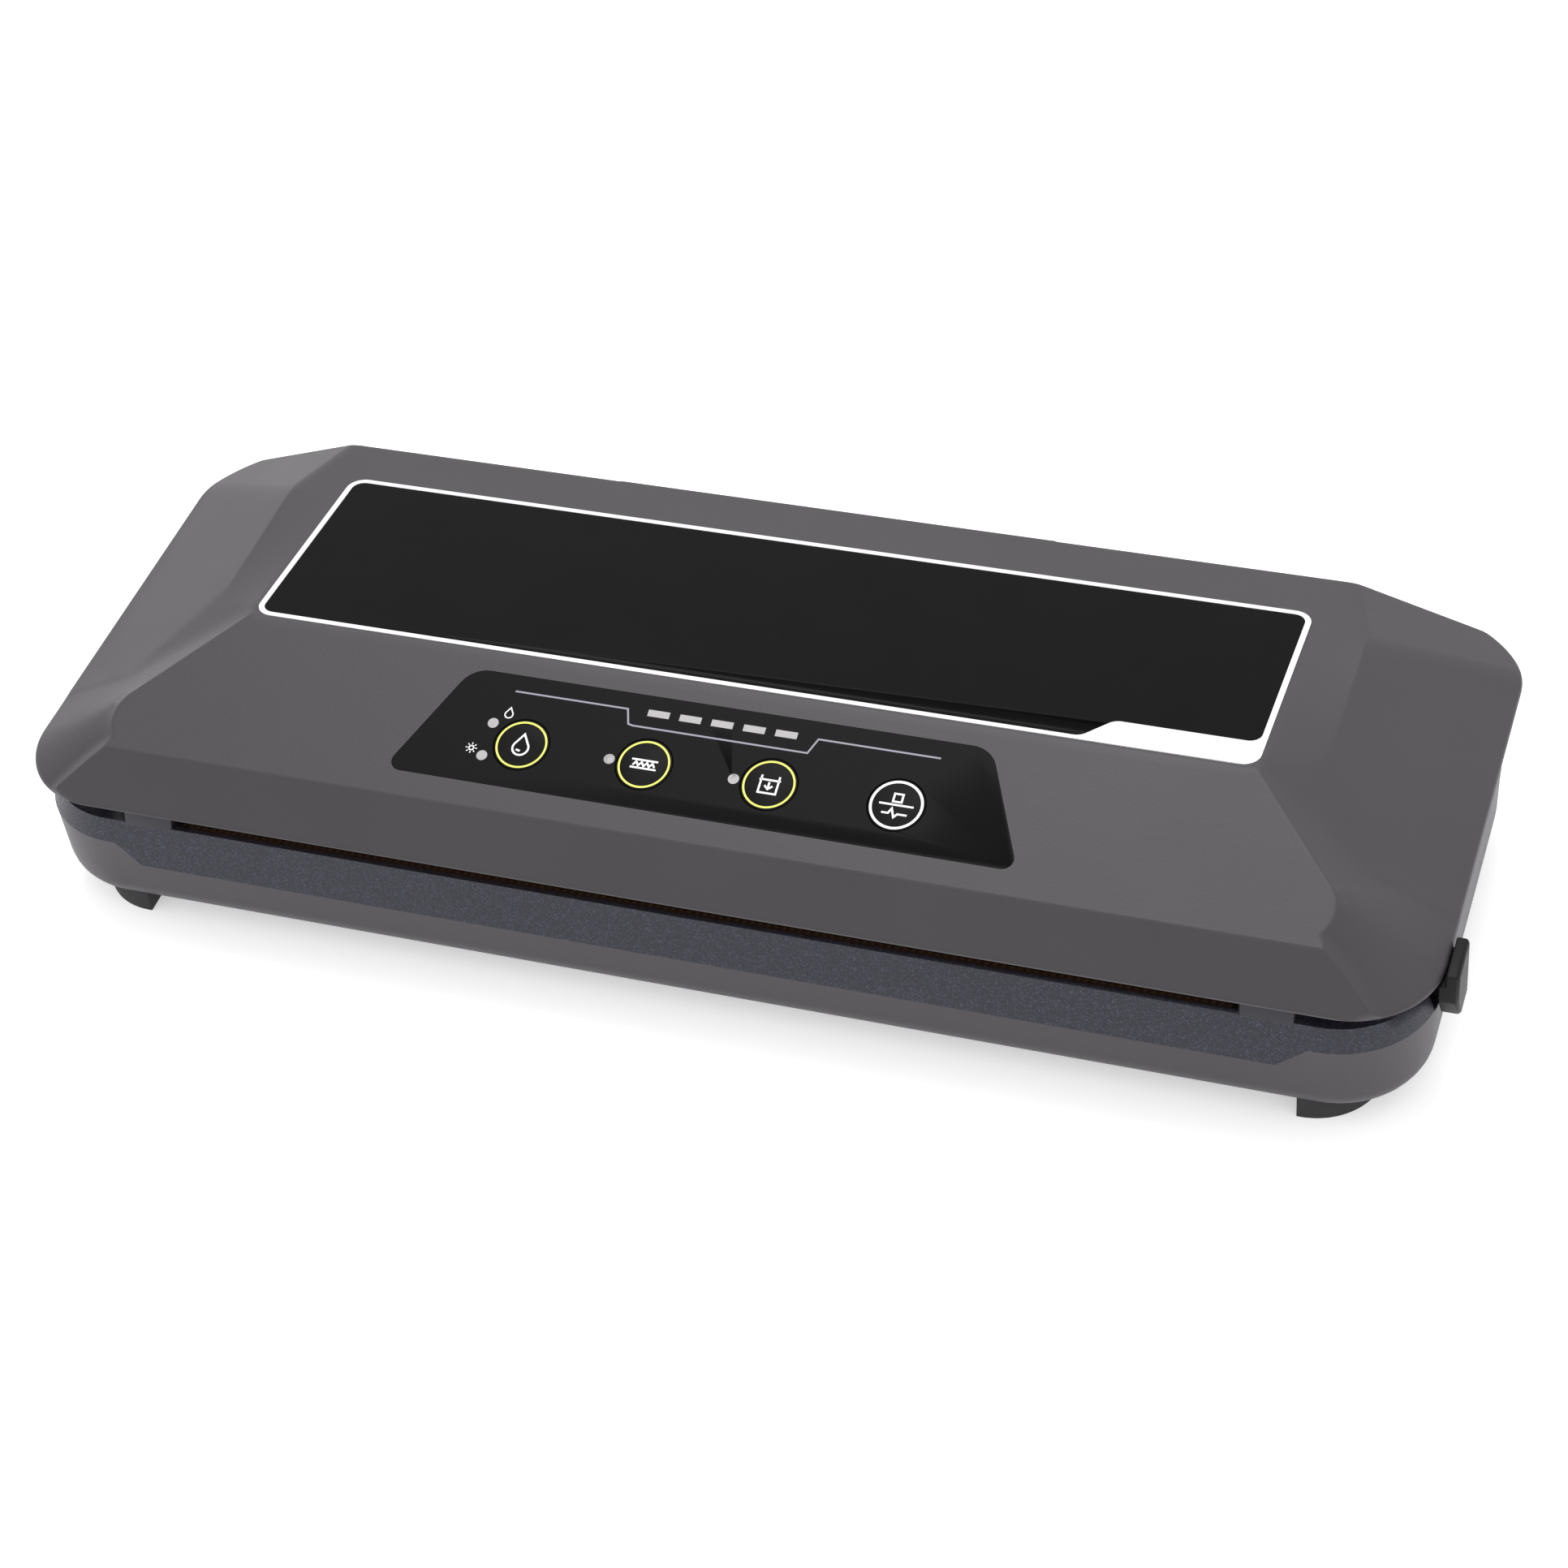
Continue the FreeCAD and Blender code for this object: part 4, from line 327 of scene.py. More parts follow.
def platedSteel(name, dark="#8f9196", light="#b4b6ba", roughness=0.32):
    # zinc-plated steel: cool bright grey with a fine drawn grain
    material, tree, shader, place = newMaterial(name)
    stretch = addNode(tree, "ShaderNodeMapping", {"Scale": (0.1, 1.0, 1.0)}, {"Vector": place})
    drawn = {"Vector": stretch.outputs["Vector"]}
    grain = addNode(tree, "ShaderNodeTexNoise", {"Scale": perMm(0.4), "Detail": 3.0}, drawn)
    tint(tree, shader, grain.outputs["Fac"], dark, light)
    roughen(tree, shader, grain.outputs["Fac"], roughness - 0.07, roughness + 0.1)
    shader.inputs["Metallic"].default_value = 1.0
    bumpFrom(tree, shader, grain.outputs["Fac"], 0.01, 0.6)
    return material


def plainMoulding(name, dark, light, roughness=0.5, metallic=0.0, gloss=0.4):
    # small engineering mouldings: nylon, phenolic and acetal, lightly mottled by the mould
    material, tree, shader, place = newMaterial(name)
    mottle = addNode(tree, "ShaderNodeTexNoise", {"Scale": perMm(5), "Detail": 4.0}, {"Vector": place})
    fine = addNode(tree, "ShaderNodeTexNoise", {"Scale": perMm(0.5), "Detail": 2.0}, {"Vector": place})
    tint(tree, shader, mottle.outputs["Fac"], dark, light)
    roughen(tree, shader, mottle.outputs["Fac"], roughness - 0.06, roughness + 0.08)
    shader.inputs["Metallic"].default_value = metallic
    shader.inputs["Specular IOR Level"].default_value = gloss
    bumpFrom(tree, shader, fine.outputs["Fac"], 0.03)
    return material


def circuitBoard(name):
    # green solder mask over copper tracks that show as a slightly lighter grid
    material, tree, shader, place = newMaterial(name)
    tracks = addNode(tree, "ShaderNodeTexBrick", {"Scale": perMm(4.0), "Mortar Size": 0.08}, {"Vector": place})
    tint(tree, shader, tracks.outputs["Fac"], "#12402a", "#1f5d3c")
    shader.inputs["Roughness"].default_value = 0.35
    bumpFrom(tree, shader, tracks.outputs["Fac"], 0.03)
    return material


def studioFloor(name):
    # pale paper that gives off a little light, so that only a faint contact shadow is left
    material, tree, shader, place = newMaterial(name)
    paper = addNode(tree, "ShaderNodeTexNoise", {"Scale": perMm(3), "Detail": 3.0}, {"Vector": place})
    tint(tree, shader, paper.outputs["Fac"], "#f4f4f5", "#f8f8f9")
    shader.inputs["Roughness"].default_value = 0.9
    shader.inputs["Emission Color"].default_value = (1.0, 1.0, 1.0, 1.0)
    shader.inputs["Emission Strength"].default_value = 0.42
    return material


lidAbs = sparkTexturedAbs("satinAbsLid", "#3c393c", "#423f42")
baseAbs = sparkTexturedAbs("satinAbsBase", "#3e3b40", "#444145")
linerAbs = sparkTexturedAbs("satinAbsLiner", "#353338", "#3c3a3e", 0.5, 0.7)
deckAbs = fleckedAbs("flakeFilledAbs")
stopAbs = sparkTexturedAbs("smoothAbsStops", "#26252c", "#2c2b32", 0.42, 0.6, 0.015)
acrylic = polishedAcrylic("blackAcrylic")
film = polyesterFilm("overlayFilm", "#100f11", "#141314")
silver = satinSilver("satinSilverTrim")
limeInk = printedInk("limeInk", "#e2e85c", "#eef472")
whiteInk = printedInk("whiteInk", "#e9e9ea", "#f6f6f6")
greyInk = printedInk("greyInk", "#8e8b99", "#9a97a4")
lensGrey = frostedLens("frostedLens")
footRubber = mouldedRubber("footRubber", "#1f1e20", "#29282a")
sponge = spongeRubber("spongeRubber")
siliconeBrown = mouldedRubber("siliconeRubber", "#6a4636", "#7d5644", 0.5)
tape = wovenPtfe("ptfeGlassCloth")
steel = platedSteel("zincPlatedSteel")
nichrome = platedSteel("nichromeStrip", "#7d7b76", "#9b9890", 0.4)
coreSteel = platedSteel("laminatedSteel", "#3c3c3e", "#55555a", 0.5)
brass = platedSteel("brassPins", "#b08d4c", "#cfae6b", 0.28)
acetalBlack = plainMoulding("blackAcetal", "#171617", "#1d1c1d", 0.45, 0.0, 0.12)
nylonBlack = plainMoulding("blackNylon", "#1d1d1e", "#2a2a2b", 0.55)
phenolic = plainMoulding("phenolicMoulding", "#33281d", "#453625", 0.6)
copperTape = plainMoulding("windingTape", "#9c7a24", "#b8943a", 0.45)
silicone = plainMoulding("siliconeTube", "#bdbdb8", "#d2d2cd", 0.35)
partsBlack = plainMoulding("componentBlack", "#18181a", "#242427", 0.35)
ledClear = plainMoulding("ledBody", "#cfcfc6", "#e3e3da", 0.2)
board = circuitBoard("solderMask")
floorPaper = studioFloor("palePaper")
print("stage: materials made")


# ---- lid cover: faces measured as planes, joined by creases of their own softness ----
lidForm = {
    "halfWidth": 194.8, "frontY": -73.5, "rearY": 74.5, "frontRadius": 24.5, "rearRadius": 20.0,
    "rimZ": 42.0, "rimTopZ": 43.7, "wall": 2.4,
    "ridgeY": -18.9, "ridgeZ": 69.94, "topSlope": 0.0968, "keySlope": 0.319,
    "frontCreaseY": -63.6, "rearCrestY": 68.5, "panelFrontY": -17.9,
    "ridgeEnd": (139.7, -17.9), "keyCornerOut": (0.749, 0.6626), "keyCornerCentre": (157.2, -53.25),
    "keyCornerRadius": 10.35, "keyCornerEnd": 41.5,
    "foldX": 141.0, "crestX": 155.3, "crestZ": 64.0, "sideFall": 0.514,
    "crestLimit": (139.7, -17.9, 69.84, 0.4243, 0.0523), "rearCorner": (151.0, 69.2, 59.5, 0.412, 0.2224),
    "edgeInset": 1.0, "coarse": 4.0, "fine": 0.5, "quickFine": 1.0, "flatness": 0.012,
    "rimBlend": 4.0, "rimTurn": (160.0, -50.0), "leastRun": 2.0,
    "edgeRings": ((1.0, 0.0), (0.7, 0.015), (0.45, 0.06), (0.25, 0.16), (0.1, 0.32), (0.0, 0.6)),
    "underRings": ((0.0, 0.28), (0.08, 0.1), (0.28, 0.0)), "edgeLow": 0.34, "edgeStep": 0.1,
}
# how far the two faces differ in height, in mm, where they start to blend
creaseForm = {"ridge": 0.4, "front": 0.5, "keyEdge": 0.35, "crest": 0.14, "limit": 0.2, "skirt": 0.8,
              "rearHip": 0.9, "rearSide": 1.0, "rear": 3.6}
keyTilt = math.atan(lidForm["keySlope"])
topTilt = -math.atan(lidForm["topSlope"])


def keyFaceZ(y):
    return lidForm["ridgeZ"] + lidForm["keySlope"] * (y - lidForm["ridgeY"])


def topFaceZ(y):
    return lidForm["ridgeZ"] - lidForm["topSlope"] * (y - lidForm["ridgeY"])


def softMin(a, b, blend):
    h = np.clip(0.5 + 0.5 * (b - a) / blend, 0, 1)
    return b * (1 - h) + a * h - blend * h * (1 - h)


def skirtZ(s, y):  # surface that falls from the edge of the key face to the rim, round the corner
    f = lidForm
    cx, cy = f["keyCornerCentre"]
    radius = f["keyCornerRadius"]
    angle = np.degrees(np.arctan2(y - cy, s - cx))
    away = np.maximum(np.hypot(s - cx, y - cy), 1e-6)
    ax, ay = f["ridgeEnd"]
    nx, ny = f["keyCornerOut"]
    along = np.maximum((s - ax) * ny - (y - ay) * nx, 0)
    edgeY = ay - along * nx
    fromEdge = (s - ax) * nx + (y - ay) * ny
    beyond = (s - ax) * ny - (y - ay) * nx < 0
    fromEdge = np.where(beyond & (fromEdge > 0), np.hypot(s - ax, y - ay), fromEdge)
    onCorner = (angle <= f["keyCornerEnd"]) & (angle >= -90)
    fromEdge = np.where(onCorner, away - radius, fromEdge)
    edgeY = np.where(onCorner, cy + radius * (y - cy) / away, edgeY)
    inFront = (s < cx) & (y < cy)
    fromEdge = np.where(inFront, f["frontCreaseY"] - y, fromEdge)
    edgeY = np.where(inFront, f["frontCreaseY"], edgeY)
    edgeZ = keyFaceZ(edgeY)
    rimX = f["halfWidth"] - f["frontRadius"]
    rimY = f["frontY"] + f["frontRadius"]
    corner = (s > rimX) & (y < rimY)
    toRim = softMin(f["halfWidth"] - s, y - f["frontY"], f["rimBlend"])
    toRim = np.where((s <= rimX) & (y < rimY), y - f["frontY"], toRim)
    toRim = np.where((s > rimX) & (y >= rimY), f["halfWidth"] - s, toRim)
    toRim = np.where(corner, f["frontRadius"] - np.hypot(s - rimX, y - rimY), toRim)
    turnX, turnY = f["rimTurn"]
    turn = np.arctan2(np.maximum(turnY - y, 0), np.maximum(s - turnX, 1e-3))
    turn = np.clip(turn / (math.pi / 2), 0, 1)
    rimZ = f["rimTopZ"] + (f["rimZ"] - f["rimTopZ"]) * turn * turn * (3 - 2 * turn)
    return edgeZ + (rimZ - edgeZ) * fromEdge / np.maximum(np.maximum(fromEdge, 0) + toRim, f["leastRun"])


def lidHeight(x, y):  # height of the lid's outside, in mm
    f = lidForm
    c = creaseForm
    s = np.abs(x)
    top = topFaceZ(y)
    frontZ = keyFaceZ(f["frontCreaseY"])
    crestZ = topFaceZ(f["rearCrestY"])
    side = f["crestZ"] - f["sideFall"] * (s - f["crestX"])
    band = top - np.maximum(top - f["crestZ"], 0) * (s - f["foldX"]) / (f["crestX"] - f["foldX"])
    lx, ly, lz, fallX, riseY = f["crestLimit"]
    limit = lz - fallX * (s - lx) + riseY * (y - ly)
    side = softMin(softMin(side, band, c["crest"]), limit, c["limit"])
    side = -softMin(-side, -skirtZ(s, y), c["skirt"])
    hx, hy, hz, hipX, hipY = f["rearCorner"]
    hip = hz - hipX * (s - hx) - hipY * (y - hy)
    height = softMin(top, keyFaceZ(y), c["ridge"])
    height = softMin(height, side, c["keyEdge"])
    height = softMin(height, softMin(hip, side, c["rearSide"]), c["rearHip"])
    front = frontZ + (frontZ - f["rimZ"]) / (f["frontCreaseY"] - f["frontY"]) * (y - f["frontCreaseY"])
    rear = crestZ - (crestZ - f["rimTopZ"]) / (f["rearY"] - f["rearCrestY"]) * (y - f["rearCrestY"])
    height = softMin(height, front, c["front"])
    return softMin(height, rear, c["rear"])


def roundedOutline(inset, corner=24, long=170, short=44):  # counter-clockwise plan of the lid, drawn in
    f = lidForm
    half = f["halfWidth"] - inset
    front = f["frontY"] + inset
    rear = f["rearY"] - inset
    corners = [
        (-half, front, f["frontRadius"] - inset, 180, long),
        (half, front, f["frontRadius"] - inset, 270, short),
        (half, rear, f["rearRadius"] - inset, 0, long),
        (-half, rear, f["rearRadius"] - inset, 90, short),
    ]
    bends = []
    for x, y, radius, start, run in corners:
        cx = x - math.copysign(radius, x)
        cy = y + radius if y < 0 else y - radius
        angles = [math.radians(start + 90 * i / corner) for i in range(corner + 1)]
        bends.append(([(cx + radius * math.cos(a), cy + radius * math.sin(a)) for a in angles], run))
    points = []
    for i, (bend, run) in enumerate(bends):
        points += bend
        x0, y0 = bend[-1]
        x1, y1 = bends[(i + 1) % 4][0][0]
        points += [(x0 + (x1 - x0) * k / run, y0 + (y1 - y0) * k / run) for k in range(1, run)]
    return points


def adaptivePoints(coarse, fine):  # plan points that crowd where the surface bends
    f = lidForm
    xs = np.arange(0, f["halfWidth"] + coarse, coarse)
    ys = np.arange(f["frontY"], f["rearY"] + coarse, coarse)
    cells = np.array([(x, y) for x in xs for y in ys])
    size = coarse
    shares = (0, 0.25, 0.5, 0.75, 1)  # where in a cell the surface is compared with a flat one
    kept = set()
    while len(cells):
        x, y = cells[:, 0], cells[:, 1]
        steps = ((0, 0), (size, 0), (0, size), (size, size))
        corners = [lidHeight(x + dx, y + dy) for dx, dy in steps]
        for dx, dy in steps:
            kept.update(zip(np.round(x + dx, 4).tolist(), np.round(y + dy, 4).tolist()))
        if size / 2 < fine - 1e-6:
            break
        error = np.zeros(len(cells))
        for u in shares:
            for v in shares:
                flat = (corners[0] * (1 - u) * (1 - v) + corners[1] * u * (1 - v)
                        + corners[2] * (1 - u) * v + corners[3] * u * v)
                error = np.maximum(error, np.abs(lidHeight(x + u * size, y + v * size) - flat))
        cells = cells[error > f["flatness"]]
        size /= 2
        if len(cells):
            cells = np.concatenate([cells + (dx, dy) for dx in (0, size) for dy in (0, size)])
    return sorted(kept | {(-x, y) for x, y in kept})


def insideOutline(points, inset, gap):  # points that keep a gap from the drawn-in outline
    f = lidForm
    found = []
    for x, y in points:
        radius = f["frontRadius"] if y < 0 else f["rearRadius"]
        dx = abs(x) - (f["halfWidth"] - radius)
        dy = max(f["frontY"] + radius - y, y - f["rearY"] + radius)
        room = radius - (math.hypot(max(dx, 0), max(dy, 0)) + min(max(dx, dy), 0))
        if room > inset + gap:
            found.append((x, y))
    return found


def drapedSheet(name, inset, points, lift):  # triangles over the plan points, raised by lift(x, y)
    border = roundedOutline(inset)
    plan = [Vector(p) for p in border + points]
    flat, _, faces, _, _, _ = delaunay_2d_cdt(plan, [], [tuple(range(len(border)))], 1, 1e-6)
    xs = np.array([p.x for p in flat])
    ys = np.array([p.y for p in flat])
    zs = lift(xs, ys)
    return newPiece(name, zip(xs, ys, zs), faces)


def rimBand(name):  # rounded edge from the outer face, round the rim, to the inner face
    f = lidForm
    rings = []
    deepest = f["edgeRings"][-1][1]
    for inset, drop in f["edgeRings"]:
        plan = roundedOutline(inset)
        heights = lidHeight(np.array([p[0] for p in plan]), np.array([p[1] for p in plan])) - drop
        low = f["rimZ"] + f["edgeLow"] + f["edgeStep"] * (deepest - drop)
        if inset != f["edgeInset"]:
            heights = np.maximum(heights, low)
        rings.append([(x, y, z) for (x, y), z in zip(plan, heights)])
    for inset, rise in f["underRings"] + ((f["wall"], 0.0),):
        rings.append([(x, y, f["rimZ"] + rise) for x, y in roundedOutline(inset)])
    count = len(rings[0])
    points = [p for ring in rings for p in ring]
    faces = []
    for k in range(len(rings) - 1):
        for i in range(count):
            j = (i + 1) % count
            faces.append((k * count + i, (k + 1) * count + i, (k + 1) * count + j, k * count + j))
    return newPiece(name, points, faces)


def trueNormals(piece):  # shades the outside by the slope of its own faces, so flats stay flat
    mesh = piece.data
    step, nearSurface, sameSide = 0.02, 0.01, 0.8
    coords = np.empty(len(mesh.vertices) * 3)
    mesh.vertices.foreach_get("co", coords)
    x, y, z = coords.reshape(-1, 3).T / mm
    slopeX = (lidHeight(x + step, y) - lidHeight(x - step, y)) / (2 * step)
    slopeY = (lidHeight(x, y + step) - lidHeight(x, y - step)) / (2 * step)
    exact = np.stack([-slopeX, -slopeY, np.ones(len(x))], 1)
    exact /= np.linalg.norm(exact, axis=1)[:, None]
    outside = np.abs(z - lidHeight(x, y)) < nearSurface
    corners = np.empty(len(mesh.loops), dtype=np.int32)
    mesh.loops.foreach_get("vertex_index", corners)
    normals = np.empty(len(mesh.loops) * 3)
    mesh.corner_normals.foreach_get("vector", normals)
    normals = normals.reshape(-1, 3)
    faceNormals = np.empty(len(mesh.polygons) * 3)
    mesh.polygons.foreach_get("normal", faceNormals)
    totals = np.empty(len(mesh.polygons), dtype=np.int32)
    mesh.polygons.foreach_get("loop_total", totals)
    perCorner = np.repeat(faceNormals.reshape(-1, 3), totals, axis=0)
    agree = (perCorner * exact[corners]).sum(1) > sameSide
    use = outside[corners] & agree
    normals[use] = exact[corners][use]
    mesh.normals_split_custom_set([tuple(n) for n in normals])


def flatPrism(name, corners, radii, z0, z1, steps=8):  # rounded outline raised between two heights, in mm
    points = []
    count = len(corners)
    for i in range(count):
        here = Vector(corners[i])
        before = (Vector(corners[i - 1]) - here).normalized()
        after = (Vector(corners[(i + 1) % count]) - here).normalized()
        half = before.angle(after) / 2
        if radii[i] <= 0:
            points.append(here)
            continue
        centre = here + (before + after).normalized() * (radii[i] / math.sin(half))
        first = here + before * (radii[i] / math.tan(half)) - centre
        turn = first.angle_signed(here + after * (radii[i] / math.tan(half)) - centre)
        for k in range(steps + 1):
            angle = -turn * k / steps
            c, s = math.cos(angle), math.sin(angle)
            points.append(centre + Vector((first.x * c - first.y * s, first.x * s + first.y * c)))
    piece = newPiece(name, [(p.x, p.y, z0) for p in points], [tuple(range(len(points)))])
    rise = {"value": (0, 0, (z1 - z0) * mm)}
    editAll(piece, lambda: bpy.ops.mesh.extrude_region_move(TRANSFORM_OT_translate=rise), faceOutward)
    return piece


overlayForm = {
    "frontY": -56.3, "frontHalf": 86.9, "rearHalf": 71.95, "length": 33.5, "frontR": 3.0, "rearR": 8.0,
    "depth": 0.8,
}
panelForm = {"width": 279.4, "length": 69.0, "radius": 5.0, "depth": 1.2}
keyForm = {"pitch": 34.45, "v": 13.1, "radius": 7.6, "gap": 0.25, "ringRadius": 6.75, "ringWidth": 0.55}
lampForm = {
    "radius": 1.5, "places": ((-61.4, 18.2), (-61.4, 8.2), (-26.8, 13.0), (7.6, 13.0)),
    "barLength": 6.0, "barHeight": 2.0, "barPitch": 8.85, "barV": 28.4,
}
keyXs = [keyForm["pitch"] * (i - 1.5) for i in range(4)]


def onKeyFace(piece):  # from its flat sheet onto the sloping key face
    place = Matrix.Translation((0, overlayForm["frontY"] * mm, keyFaceZ(overlayForm["frontY"]) * mm))
    piece.matrix_world = place @ Matrix.Rotation(keyTilt, 4, "X") @ piece.matrix_world
    applyPlace(piece)
    return piece


def onTopFace(piece):
    place = Matrix.Translation((0, lidForm["panelFrontY"] * mm, topFaceZ(lidForm["panelFrontY"]) * mm))
    piece.matrix_world = place @ Matrix.Rotation(topTilt, 4, "X") @ piece.matrix_world
    applyPlace(piece)
    return piece


def overlayOutline(grow):
    o = overlayForm
    corners = [
        (-o["frontHalf"] - grow, -grow), (o["frontHalf"] + grow, -grow),
        (o["rearHalf"] + grow, o["length"] + grow), (-o["rearHalf"] - grow, o["length"] + grow),
    ]
    return corners, [o["frontR"], o["frontR"], o["rearR"], o["rearR"]]


def cylinderAt(x, v, radius, z0, z1, sides=64):
    middle = (x * mm, v * mm, (z0 + z1) / 2 * mm)
    bpy.ops.mesh.primitive_cylinder_add(
        vertices=sides, radius=radius * mm, depth=(z1 - z0) * mm, location=middle,
    )
    return bpy.context.active_object


def boxAt(x0, x1, y0, y1, z0, z1):
    middle = ((x0 + x1) / 2 * mm, (y0 + y1) / 2 * mm, (z0 + z1) / 2 * mm)
    bpy.ops.mesh.primitive_cube_add(size=1, location=middle)
    cube = bpy.context.active_object
    cube.scale = ((x1 - x0) * mm, (y1 - y0) * mm, (z1 - z0) * mm)
    applyPlace(cube)
    return cube


def cutWith(piece, cutter):
    applyModifier(piece, "BOOLEAN", object=cutter, operation="DIFFERENCE", solver="EXACT")
    bpy.data.objects.remove(cutter)


coverForm = {
    "roofShare": 1.06, "edgeGap": 0.35, "insideSpan": (192, 72), "insideStep": 6, "insideGap": 2.0,
    "cutGap": 0.1, "cutTop": 4, "holeLow": -5, "holeTop": 3, "lampSides": 24, "shadeAngle": 32,
}


def makeLidCover():
    f = lidForm
    c = coverForm
    wall = f["wall"] * c["roofShare"]
    smallest = f["fine"]
    fine = insideOutline(adaptivePoints(f["coarse"], smallest), f["edgeInset"], c["edgeGap"])
    outside = drapedSheet("lidCover", f["edgeInset"], fine, lidHeight)
    spanX, spanY = c["insideSpan"]
    step = c["insideStep"]
    rough = [(x, y) for x in range(-spanX, spanX + 1, step) for y in range(-spanY, spanY + 1, step)]
    inside = drapedSheet(
        "lidInside", f["wall"], insideOutline(rough, f["wall"], c["insideGap"]),
        lambda x, y: np.maximum(f["rimZ"], lidHeight(x, y) - wall),
    )
    border = roundedOutline(f["wall"])
    for vertex in inside.data.vertices[:len(border)]:
        vertex.co.z = f["rimZ"] * mm
    editAll(inside, lambda: bpy.ops.mesh.flip_normals())
    cover = joinPieces([outside, inside, rimBand("lidRim")], "lidCover")
    mergePoints(cover, 0.01 * mm)
    editAll(cover, faceOutward)
    gap = c["cutGap"]
    half = panelForm["width"] / 2 + gap
    end = panelForm["length"] + gap
    panelCorners = [(-half, -gap), (half, -gap), (half, end), (-half, end)]
    pocket = flatPrism("panelCut", panelCorners, [panelForm["radius"]] * 4, -panelForm["depth"], c["cutTop"])
    cutWith(cover, onTopFace(pocket))
    corners, radii = overlayOutline(gap)
    cutWith(cover, onKeyFace(flatPrism("overlayCut", corners, radii, -overlayForm["depth"], c["cutTop"])))
    low, top = c["holeLow"], c["holeTop"]
    holes = [cylinderAt(x, keyForm["v"], keyForm["radius"] + keyForm["gap"], low, top) for x in keyXs]
    lampHole = lampForm["radius"] + gap
    holes += [cylinderAt(x, v, lampHole, low, top, c["lampSides"]) for x, v in lampForm["places"]]
    halfLength = lampForm["barLength"] / 2 + gap
    halfHeight = lampForm["barHeight"] / 2 + gap
    barV = lampForm["barV"]
    for i in range(5):
        x = lampForm["barPitch"] * (i - 2)
        holes.append(boxAt(x - halfLength, x + halfLength, barV - halfHeight, barV + halfHeight, low, top))
    for hole in holes:
        applyPlace(hole)
    cutWith(cover, onKeyFace(joinPieces(holes, "keyHoles")))
    smoothShade(cover, c["shadeAngle"])
    trueNormals(cover)
    print("lid cover triangles", sum(len(p.vertices) - 2 for p in cover.data.polygons))
    paint(cover, lidAbs)
    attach(cover, "lid")
    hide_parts("lid_shell")
    return cover


makeLidCover()
print("stage: lid cover made")


hingeForm = {
    "x": 130.0, "width": 11.4, "axisY": 62.0, "axisZ": 41.0, "hub": 4.5, "depth": 7.0, "bore": 2.05,
    "roofGap": 3,
}


def axleAt(x, radius, length, sides):  # cylinder across the machine, on the hinge axis
    h = hingeForm
    bpy.ops.mesh.primitive_cylinder_add(
        vertices=sides, radius=radius * mm, depth=length * mm,
        location=(x * mm, h["axisY"] * mm, h["axisZ"] * mm), rotation=(0, math.pi / 2, 0),
    )
    return bpy.context.active_object


def makeHingeLugs():  # lugs under the lid roof that turn on the hinge pins
    h = hingeForm
    pieces = []
    for side in (-1, 1):
        x = side * h["x"]
        hub = axleAt(x, h["hub"], h["width"], 48)
        applyPlace(hub)
        arm = boxAt(
            x - h["width"] / 2, x + h["width"] / 2, h["axisY"] - h["depth"] / 2,
            h["axisY"] + h["depth"] / 2, h["axisZ"], topFaceZ(h["axisY"]) - h["roofGap"],
        )
        applyModifier(hub, "BOOLEAN", object=arm, operation="UNION", solver="EXACT")
        bpy.data.objects.remove(arm)
        cutWith(hub, axleAt(x, h["bore"], 2 * h["width"], 32))
        pieces.append(hub)
    lugs = joinPieces(pieces, "lidHingeLugs")
    smoothShade(lugs)
    paint(lugs, lidAbs)
    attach(lugs, "lid")


makeHingeLugs()


# ---- copies of CAD pieces with merged points, softened edges and smooth shading ----
copyForm = {"flatAngle": 0.6, "shadeAngle": 35}


def refined(node, name, material, bevelMm=0.0, segments=2, angle=30):
    source = frame["nodes"][node]
    piece = source.copy()
    piece.data = source.data.copy()
    piece.name = name
    piece.parent = None
    for key in list(piece.keys()):
        del piece[key]
    bpy.context.scene.collection.objects.link(piece)
    mergePoints(piece)
    editAll(piece, lambda: bpy.ops.mesh.dissolve_limited(angle_limit=math.radians(copyForm["flatAngle"])))
    if bevelMm > 0:
        applyModifier(
            piece, "BEVEL", width=bevelMm * mm, segments=segments, limit_method="ANGLE",
            angle_limit=math.radians(angle), use_clamp_overlap=True, harden_normals=False,
        )
    smoothShade(piece, copyForm["shadeAngle"])
    paint(piece, material)
    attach(piece, source["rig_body"])
    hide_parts(node)
    return piece


refined("base_shell", "baseShell", baseAbs)
refined("base_deck", "baseDeck", deckAbs)
stopForm = {
    "x0": 146.98, "x1": 161.02, "frontY": -71.14, "depth": 10.1, "lowZ": 35.0, "topZ": 41.72,
    "lean": 0.28, "leanFrom": 36, "frontBand": 1, "edge": 0.6, "edgeSteps": 3,
}


def makeBagStops():  # smooth blocks at both ends of the bag slot
    f = stopForm
    blocks = []
    for sign in (-1, 1):
        low, high = sorted((sign * f["x0"], sign * f["x1"]))
        block = boxAt(low, high, f["frontY"], f["frontY"] + f["depth"], f["lowZ"], f["topZ"])
        for vertex in block.data.vertices:
            if vertex.co.y < (f["frontY"] + f["frontBand"]) * mm:
                vertex.co.y += f["lean"] * (vertex.co.z - f["leanFrom"] * mm)
        applyModifier(block, "BEVEL", width=f["edge"] * mm, segments=f["edgeSteps"], limit_method="ANGLE")
        blocks.append(block)
    stops = joinPieces(blocks, "bagStops")
    smoothShade(stops)
    paint(stops, stopAbs)
    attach(stops, "base")


